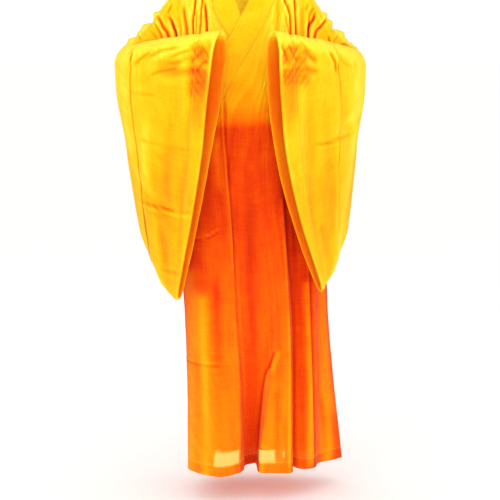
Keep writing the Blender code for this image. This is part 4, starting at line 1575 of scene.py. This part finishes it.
    def hemmed(
        self, points: np.ndarray, normals: np.ndarray, dye: np.ndarray, thin: np.ndarray
    ) -> Cloth:
        """A panel with its lower edge turned up inside, and its stitch line kept.

        Args:
            points: the panel's pressed surface.
            normals: its outward directions.
            dye: its colour depth.
            thin: how far light falls through it in the bright places above the hem, from 0 to 1.

        Returns:
            The panel's cloth.
        """
        turned = int(np.searchsorted(points[:, 0, 2], HEM + HEM_DEPTH))
        inside = points[:turned] - normals[:turned] * HEM_INSET
        self.hem_lines.append((points[turned] + normals[turned] * CLOTH / 2, normals[turned]))
        thin = thin.copy()
        thin[:turned] = 0
        # painted light where light falls through one layer above the hem, and painted shade on the turned
        # hem inside
        deep = dye - 0.30 * thin
        deep[:turned] += 0.06
        sheer = 0.72 * thin
        grid, depth, gaps = (
            np.concatenate((lower[::-1], whole))
            for lower, whole in ((inside, points), (deep[:turned], deep), (sheer[:turned], sheer))
        )
        return Cloth(grid, depth, sheer=gaps)

    def build(self) -> list[bpy.types.Object]:
        """All three panels and the hem's stitching.

        Returns:
            The finished pieces.
        """
        made = [self.front_over(), self.front_under(), self.back()]
        made.append(sewn("hem_stitches", self.hem_lines, self.thread))
        return made


@dataclass
class NeckBand:
    """One long folded band: up the outer front, round the neck, down the under front."""

    body: BodyForm
    finish: bpy.types.Material
    thread: bpy.types.Material
    columns: int = 15
    over_rows: int = 120
    nape_rows: int = 60
    under_rows: int = 104
    over_end: float = -0.515
    under_end: float = -0.440
    join: float = -0.006
    free_side: float = 0.062
    free_back: float = 0.056
    nape_drop: float = 0.008
    nape_rise: float = 0.040
    turn_height: float = 0.105
    sink: float = 0.030
    tucked: float = 0.15  # share of the band's width

    def normals(self, side: Side, places: np.ndarray, z: float) -> np.ndarray:
        """Outward directions of the body along one level row.

        Args:
            side: which face of the body.
            places: counted in fold lines from the first.
            z: the row's height.

        Returns:
            One unit direction for each place.
        """
        last = len(self.body.folds[side]) - 1
        level = np.array((z,))
        ahead = self.body.grid(side, np.minimum(places + 0.3, last)[None], level)
        behind = self.body.grid(side, np.maximum(places - 0.3, 0)[None], level)
        above = self.body.grid(side, places[None], np.array((min(z + 0.004, 0),)))
        below = self.body.grid(side, places[None], np.array((z - 0.004,)))
        square = np.cross(ahead - behind, above - below)[0]
        return square / np.linalg.norm(square, axis=1, keepdims=True)

    def rise(self, z: float) -> float:
        """How far the free edge is lifted at a height, as it turns up beside the neck."""
        near = max(0.0, 1 + z / self.turn_height)
        return self.nape_rise * near * near * (3 - 2 * near)

    def shares(self, tuck: float) -> np.ndarray:
        """Places across the band, from past its seam where it is tucked in on the shoulder."""
        return np.linspace(-self.tucked * tuck, 1, self.columns)

    def chest_row(self, edges: tuple[NeckEdge, ...], z: float, sink: float) -> np.ndarray:
        """Points across the band at one height on the chest, from seam to free edge.

        Args:
            edges: where the band's edges stand.
            z: the height.
            sink: how far the band lies behind the outer front.

        Returns:
            One point for each column.
        """
        seam = neck_x(edges, "seam_x", z)
        free = neck_x(edges, "free_x", z)
        share = self.shares(float(soft_step(np.array((z + 0.045) / 0.040))))
        xs = seam + (free - seam) * share
        places = np.array([self.body.place_at_x(Side.FRONT, x, z) for x in xs])
        points = self.body.grid(Side.FRONT, places[None], np.array((z,)))[0]
        points = self.body.set_in(points, np.full(len(points), sink))
        points = points + BAND_LIFT * self.normals(Side.FRONT, places, z)
        points[:, 2] += self.rise(z) * share
        return points

    def nape_row(self, turn: float) -> np.ndarray:
        """Points across the band where it stands up round the back of the neck.

        Args:
            turn: how far round from the left shoulder, in radians.

        Returns:
            One point for each column.
        """
        place = np.array((turn / math.pi * (len(BACK_FOLDS) - 1),))
        z = PANEL_TOP - self.nape_drop * math.sin(turn)
        seam = self.body.grid(Side.BACK, place[None], np.array((z,)))[0, 0]
        seam = seam + BAND_LIFT * self.normals(Side.BACK, place, z)[0]
        seam[2] += BAND_LIFT * abs(math.cos(turn))
        free = (self.free_side * math.cos(turn), self.free_back * math.sin(turn), self.nape_rise)
        return seam + (np.array(free) - seam) * self.shares(math.cos(turn) ** 2)[:, None]

    def rows(self) -> np.ndarray:
        """Every row of the band, from its lower end on the outer front.

        Returns:
            Rows by columns by three.
        """
        made = []
        for z in np.linspace(self.over_end, self.join, self.over_rows):
            made.append(self.chest_row(OVER_NECK, z, 0))
        for turn in np.linspace(0, math.pi, self.nape_rows)[1:-1]:
            made.append(self.nape_row(turn))
        for z in np.linspace(self.join, self.under_end, self.under_rows):
            sunk = min(1.0, (self.join - z) / self.sink)
            made.append(self.chest_row(UNDER_NECK, z, LAYER_GAP * sunk))
        return np.array(made)

    def build(self) -> list[bpy.types.Object]:
        """The band, gently uneven, with a row of stitching along each edge.

        Returns:
            The finished pieces.
        """
        points = self.rows()
        normals = grid_normals(points)
        length = np.linalg.norm(np.diff(points[:, 0], axis=0), axis=1).sum()
        along = np.linspace(0, length, len(points))[:, None] * np.ones(points.shape[:2])
        across = np.linspace(0, 0.06, self.columns) * np.ones(points.shape[:2])
        wave = ripple(along, across, (0.07, 0.08), 3)
        pucker = ripple(along, across, (0.016, 0.20), 11)
        inner = np.sin(math.pi * across / 0.06)
        points = points + normals * (0.0006 * wave * inner + 0.00025 * pucker)[..., None]
        # painted shade: deeper as a folded band, with height as on the body, and with the band's waves
        dye = 0.11 + 0.03 * wave + shade_at(BODY_SHADE, points[..., 2]) * 0.55
        piece = Cloth(points, dye).build("collar_cloth", BAND_CLOTH, self.finish)
        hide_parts("collar")
        edge = BAND_CLOTH / 2
        lines = [(points[:, k] + normals[:, k] * edge, normals[:, k]) for k in (1, -2)]
        stitches = sewn("collar_stitches", lines, self.thread)
        return [piece, stitches]


@dataclass
class SleeveForm:
    """One sleeve's smooth surface: upright rings from the armhole to the mouth."""

    hand: Hand
    body: BodyForm
    arm_share: float = 0.20  # share of a ring's height that the arm fills out
    arm_fall: float = 0.55  # where the cloth has fallen in to two hanging layers
    low_thin: float = 0.55
    low_round: float = 0.05

    def __post_init__(self) -> None:
        """Choose this hand's tables."""
        right = self.hand is Hand.RIGHT
        self.rings = RIGHT_SLEEVE if right else LEFT_SLEEVE
        self.presses = RIGHT_PRESSES if right else LEFT_PRESSES
        self.outer = 1 if right else -1

    def ring(self, count: int) -> tuple[np.ndarray, np.ndarray]:
        """The points of one closed ring, closest together at its top and bottom.

        Args:
            count: how many points, an even number.

        Returns:
            Each point's share of the height below the top, and 1 or -1 for its layer.
        """
        fine = np.linspace(0, 1, 4001)
        crowd = 1 + 0.10 / np.sqrt(fine + 0.0004) + 0.10 / np.sqrt(1.0004 - fine)
        crowd += 1.4 * soft_step((0.38 - fine) / 0.10)
        run = np.concatenate(((0,), np.cumsum((crowd[1:] + crowd[:-1]) / 2)))
        down = np.interp(np.linspace(0, run[-1], count // 2 + 1), run, fine)
        layer = np.concatenate((np.ones(count // 2 + 1), -np.ones(count // 2 - 1)))
        return np.concatenate((down, down[-2:0:-1])), layer

    def width(self, drop: np.ndarray, arm: np.ndarray, hang: np.ndarray) -> np.ndarray:
        """Half the sleeve's thickness.

        Args:
            drop: share of the height below the top.
            arm: half the thickness over the arm.
            hang: half the thickness where the cloth hangs.

        Returns:
            The half thickness at each share.
        """
        width = arm + (hang - arm) * soft_step((drop - self.arm_share) / (self.arm_fall - self.arm_share))
        width = width * np.sqrt(1 - (1 - np.clip(2 * drop / self.arm_share, 0, 1)) ** 2)
        width *= 1 - self.low_thin * np.clip((drop - self.arm_fall) / (1 - self.arm_fall), 0, 1)
        return width * np.sqrt(1 - np.clip((drop - 1 + self.low_round) / self.low_round, 0, 1) ** 2)

    def pressed(self, at: np.ndarray, drop: np.ndarray, layer: np.ndarray) -> np.ndarray:
        """How far the large troughs press the surface in.

        Args:
            at: each ring's share of the length from the armhole.
            drop: each point's share of the height below the top.
            layer: 1 or -1, the side of the arm that it is on.

        Returns:
            Rings by points, in metres.
        """
        depth = np.zeros(np.broadcast(at, drop).shape)
        for trough in self.presses:
            run = np.array((trough.to_at - trough.at, trough.to_drop - trough.drop))
            along, down = at - trough.at, drop - trough.drop
            share = np.clip((along * run[0] + down * run[1]) / (run @ run), 0, 1)
            away = np.hypot(along - share * run[0], down - share * run[1]) / trough.reach
            on_layer = layer * self.outer == (1 if trough.outer else -1)
            depth += on_layer * trough.depth * np.sin(math.pi * share) * np.exp(-away * away)
        return depth

    def grid(self, at: np.ndarray, drop: np.ndarray, layer: np.ndarray) -> np.ndarray:
        """Rings of points.

        Args:
            at: each ring's share of the length from the armhole.
            drop: each point's share of the height below the top.
            layer: 1 or -1, the side of the arm that it is on.

        Returns:
            Rings by points by three.
        """
        keys = column(self.rings, "at")

        def size(name: str) -> np.ndarray:
            """One size of every ring."""
            return through(keys, column(self.rings, name), at)[:, None]

        heading = np.radians(size("heading"))
        level = np.zeros_like(heading)
        forward = np.stack((np.cos(heading), np.sin(heading), level), axis=-1)
        across = np.stack((np.sin(heading), -np.cos(heading), level), axis=-1)
        top = np.stack((size("top_x"), size("top_y"), size("top_z")), axis=-1)
        low = np.stack((size("low_x"), size("low_y"), size("low_z")), axis=-1)
        swell = across * self.outer * size("bulge")[..., None] + forward * size("lean")[..., None]
        width = self.width(drop[None], size("arm"), size("hang"))
        width = np.maximum(0, width - self.pressed(at[:, None], drop[None], layer[None]))
        centre = top + (low - top) * drop[None, :, None] + swell * np.sin(math.pi * drop)[None, :, None]
        points = centre + across * (layer * width)[..., None]
        rim = np.array([self.body.rim_point(self.hand, d, s) for d, s in zip(drop, layer)])
        rim = rim + np.array((self.hand.value * ARMHOLE_GAP, 0, 0))
        return rim + (points - rim) * soft_step(at / ARMHOLE_BLEND)[:, None, None]


@dataclass
class Sleeve:
    """One wide sleeve: a part over the upper arm, a hanging part and a band at its mouth."""

    hand: Hand
    body: BodyForm
    finish: bpy.types.Material
    thread: bpy.types.Material
    ring_points: int = 240
    rows: int = 182  # of the upper part and the hanging part together
    band_rows: int = 14
    cuff_share: float = 0.075  # share of the sleeve's length that the band takes
    seam_lap: float = 0.012  # share of the length that runs on under the elbow seam
    seam_sink: float = 0.0011
    ripple_height: float = 0.0012

    def __post_init__(self) -> None:
        """Set up the surface and this hand's creases and names."""
        self.form = SleeveForm(self.hand, self.body)
        self.drop, self.layer = self.form.ring(self.ring_points)
        self.label = self.hand.name.lower()
        right = self.hand is Hand.RIGHT
        self.creases = RIGHT_SLEEVE_CREASES if right else LEFT_SLEEVE_CREASES
        self.elbow = RIGHT_ELBOW_SEAM if right else LEFT_ELBOW_SEAM
        self.gather_start = 0.88 if right else 0.83  # share of the length
        self.gather_low = 0.27 if right else 0.24  # share of the height below the top
        self.gather_depth = 0.45 if right else 0.9  # how sharp the gathers are

    def dye(self, points: np.ndarray, at: np.ndarray) -> np.ndarray:
        """Painted shade: deeper towards the hanging tip, inside the mouth and on the inner layer, with the
        elbow seam's darker line.

        Args:
            points: rings by points by three.
            at: each ring's share of the sleeve's length.

        Returns:
            Rings by points.
        """
        deep = shade_at(SLEEVE_SHADE, points[..., 2])
        # painted shade on the inner layer and inside the mouth, deepest near its top
        inner = (self.layer * self.form.outer < 0)[None] * soft_step(self.drop / 0.03)[None]
        mouth = soft_step((at - 0.72) / 0.20)[:, None] * (0.03 + 0.15 * soft_step((0.45 - self.drop) / 0.2))
        seam = np.exp(-(((at - self.elbow) / 0.0030) ** 2))[:, None]
        return deep + (0.12 + mouth) * inner + 0.22 * seam

    def dress(self, points: np.ndarray, at: np.ndarray, seed: int) -> tuple[np.ndarray, np.ndarray]:
        """Press the creases and a gentle unevenness into rings of cloth.

        Args:
            points: rings by points by three.
            at: each ring's share of the sleeve's length.
            seed: which unevenness.

        Returns:
            The pressed rings, and their tone and painted shade.
        """
        normals = grid_normals(points, closed=True)
        dye = self.dye(points, at)
        front = soft_step((0.10 - normals[..., 1]) / 0.5)
        behind = soft_step((normals[..., 1] + 0.10) / 0.5)
        calm = soft_step(at / 0.04)[:, None]
        sideways = soft_step((0.80 - np.abs(normals[..., 1])) / 0.5)
        past = soft_step((at - 0.52) / 0.04)[:, None]
        before = 1 - past
        tables = (
            (YOKE_CREASES, front * before),
            (moved(YOKE_CREASES, 0.006, -0.012, 0.8), behind * before),
            (OUTLINE_CREASES, sideways * before),
            (self.creases, front * past),
            (moved(self.creases, 0.012, 0.018, 0.7), behind * past),
        )
        pressed = points
        for creases, weight in tables:
            pressed, deeper = press(pressed, normals, creases, weight)
            dye = dye + deeper
        pressed, deeper = self.gathers(pressed, normals, at)
        # painted light: lighter where the cloth turns edge-on to the front, at the outline
        turned = 1 - np.abs(normals[..., 1])
        lighter = 0.15 * soft_step((turned - 0.04) / 0.4) * past + 0.22 * soft_step((turned - 0.35) / 0.4)
        outside = (self.layer * self.form.outer > 0)[None] | (self.drop < 0.03)[None]
        dye = dye + deeper - lighter * np.where(outside, 1.0, 0.5)
        height = points[..., 2]
        along = at[:, None] * SLEEVE_LENGTH
        waves = ripple(along, height, (0.050, 0.50), seed)
        small = ripple(along, height, (0.022, 0.10), seed + 5)
        lift = self.ripple_height * calm * (waves + 0.25 * small)
        # painted shade and light that follow the waves
        return pressed + normals * lift[..., None], dye - 0.03 * waves

    def gathers(
        self, points: np.ndarray, normals: np.ndarray, at: np.ndarray
    ) -> tuple[np.ndarray, np.ndarray]:
        """Crumple the cloth where the wrist fills the mouth, along the band's seam.

        Args:
            points: rings by points by three.
            normals: outward directions there.
            at: each ring's share of the sleeve's length.

        Returns:
            The crumpled rings, and their painted shade: the wrist's shade inside, deeper in the folds'
            troughs and lighter on their crests.
        """
        down = soft_step((self.drop - 0.01) / 0.05) * soft_step((self.gather_low - self.drop) / 0.09)
        zone = soft_step((at - self.gather_start) / 0.05)[:, None] * down[None]
        outer = self.layer * self.form.outer > 0
        zone = zone * outer[None] * soft_step((0.996 - at) / 0.012)[:, None]
        along = at[:, None] * SLEEVE_LENGTH
        height = points[..., 2]
        slanted = ripple(along + 0.45 * height, height, (0.0085, 0.060), 51)
        coarse = ripple(height - 0.50 * along, along, (0.024, 0.050), 52)
        folds = self.gather_depth * (0.85 * slanted + 0.30 * coarse)
        # painted shade of the wrist inside the mouth, mottled, deeper in the fold troughs, lighter on their
        # crests, and deeper near the mouth low down
        blotch = ripple(height, along, (0.034, 0.050), 53)
        below = soft_step((self.drop - 0.12) / 0.08) * soft_step((0.42 - self.drop) / 0.15)
        edge = 0.16 * soft_step((at - 0.89) / 0.07)[:, None] * (below * outer)[None]
        deeper = zone * (0.26 + 0.13 * blotch - 0.22 * folds) + edge
        return points + normals * (0.0016 * zone * folds)[..., None], deeper

    def upper(self) -> bpy.types.Object:
        """The part from the armhole to the elbow seam.

        Returns:
            The finished piece.
        """
        at = np.linspace(0, self.elbow, round(self.rows * self.elbow))
        points, dye = self.dress(self.form.grid(at, self.drop, self.layer), at, 21)
        piece = Cloth(points, dye, closed=True).build(f"upper_sleeve_{self.label}_cloth", CLOTH, self.finish)
        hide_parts(f"upper_sleeve_{self.label}")
        return piece

    def lower(self) -> bpy.types.Object:
        """The hanging part from the elbow seam to the mouth.

        Returns:
            The finished piece.
        """
        start = self.elbow - self.seam_lap
        at = np.linspace(start, 1, round(self.rows * (1 - start)))
        points = self.form.grid(at, self.drop, self.layer)
        normals = grid_normals(points, closed=True)
        sunk = self.seam_sink * soft_step((self.elbow + 0.012 - at) / 0.012)
        points, dye = self.dress(points - normals * sunk[:, None, None], at, 33)
        piece = Cloth(points, dye, closed=True).build(f"sleeve_{self.label}_cloth", CLOTH, self.finish)
        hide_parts(f"sleeve_{self.label}")
        return piece

    def band(self) -> list[bpy.types.Object]:
        """The folded band at the mouth, puckered along its seam, and its two rows of stitching.

        Returns:
            The finished pieces.
        """
        at = np.linspace(1 - self.cuff_share, 1, self.band_rows)
        points, dye = self.dress(self.form.grid(at, self.drop, self.layer), at, 33)
        normals = grid_normals(points, closed=True)
        share = np.linspace(0, 1, self.band_rows)[:, None]
        round_ring = np.linalg.norm(np.diff(points, axis=1, append=points[:, :1]), axis=2).cumsum(axis=1)
        pucker = ripple(round_ring, share * 0.03, (0.011, 0.20), 47)
        lift = BAND_LIFT + 0.0006 * pucker * np.exp(-((share / 0.25) ** 2))
        points = points + normals * lift[..., None]
        # painted highlight: lighter towards the folded edge at the mouth
        dye = dye - 0.04 * share - 0.12 * soft_step((share - 0.85) / 0.15)
        name = f"cuff_band_{self.label}"
        piece = Cloth(points, dye, closed=True).build(f"{name}_cloth", BAND_CLOTH, self.finish)
        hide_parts(name)
        edge = BAND_CLOTH / 2
        lines = [(points[k] + normals[k] * edge, normals[k]) for k in (1, self.band_rows - 3)]
        stitches = sewn(f"{name}_stitches", lines, self.thread)
        return [piece, stitches]

    def build(self) -> list[bpy.types.Object]:
        """The whole sleeve."""
        return [self.upper(), self.lower(), *self.band()]


# ---- the studio -------------------------------------------------------------------------


@dataclass(frozen=True)
class Lamp:
    """One soft square light that faces the robe."""

    name: str
    place: tuple[float, float, float]
    size: float
    watts: float
    colour: tuple[float, float, float]


@dataclass(frozen=True)
class Studio:
    """A plain white room: floor, soft light all round, and the camera."""

    floor_z: float = -1.385
    floor_size: float = 400.0
    world_strength: float = 1.05
    aim: tuple[float, float, float] = (0.0, 0.0, -0.6)
    camera_place: tuple[float, float, float] = (0.022, -4.6, -0.23)
    camera_pitch: float = 83.55
    lens: float = 127.2
    lamps: tuple[Lamp, ...] = (
        Lamp("left light", (-1.9, -3.9, 0.8), 1.8, 22.0, (1.0, 0.99, 0.97)),
        Lamp("right light", (1.9, -3.9, -0.1), 1.8, 16.0, (1.0, 1.0, 1.0)),
        Lamp("front light", (0.02, -5.2, -0.2), 1.8, 95.0, (1.0, 1.0, 1.0)),
    )

    def build(self) -> None:
        """Make the floor, the lights and the camera."""
        self.floor()
        self.light()
        self.camera()

    def floor(self) -> None:
        """A pale matt floor that runs out of sight."""
        bpy.ops.object.select_all(action="DESELECT")
        bpy.ops.mesh.primitive_plane_add(size=self.floor_size, location=(0, 0, self.floor_z))
        floor = bpy.context.active_object
        floor.name = "studio_floor"
        paint = bpy.data.materials.new("matt white floor paint")
        paint.use_nodes = True
        shader = paint.node_tree.nodes["Principled BSDF"]
        shader.inputs["Base Color"].default_value = linear("#FBFAF8")
        shader.inputs["Roughness"].default_value = 0.9
        shader.inputs["Specular IOR Level"].default_value = 0.1
        floor.data.materials.append(paint)

    def light(self) -> None:
        """White light from all round, and three soft lamps in front."""
        world = bpy.data.worlds.new("white room")
        world.use_nodes = True
        back = world.node_tree.nodes["Background"]
        back.inputs["Color"].default_value = (1, 1, 1, 1)
        back.inputs["Strength"].default_value = self.world_strength
        bpy.context.scene.world = world
        bpy.context.scene.view_settings.view_transform = "Standard"
        for lamp in self.lamps:
            data = bpy.data.lights.new(lamp.name, "AREA")
            data.energy = lamp.watts
            data.size = lamp.size
            data.color = lamp.colour
            held = bpy.data.objects.new(lamp.name, data)
            held.location = lamp.place
            held.rotation_euler = (Vector(self.aim) - Vector(lamp.place)).to_track_quat("-Z", "Y").to_euler()
            bpy.context.scene.collection.objects.link(held)

    def camera(self) -> None:
        """A long lens a little above the middle of the robe, tipped down."""
        data = bpy.data.cameras.new("camera")
        data.lens = self.lens
        data.sensor_width = 36.0
        held = bpy.data.objects.new("camera", data)
        held.location = self.camera_place
        held.rotation_euler = (math.radians(self.camera_pitch), 0, 0)
        bpy.context.scene.collection.objects.link(held)
        bpy.context.scene.camera = held


def main() -> None:
    """Build the robe piece by piece, then the studio, and note the sizes."""
    logging.basicConfig(level=logging.INFO, format="%(name)s: %(message)s")
    cotton = SheerCotton().make()
    thread = SewingThread().make()
    body = BodyForm()
    parts = (
        Panels(body, cotton, thread),
        NeckBand(body, cotton, thread),
        Sleeve(Hand.RIGHT, body, cotton, thread),
        Sleeve(Hand.LEFT, body, cotton, thread),
    )
    for part in parts:
        for piece in part.build():
            LOG.info("%s has %d faces", piece.name, len(piece.data.polygons))
    Studio().build()


if __name__ == "__main__":
    main()
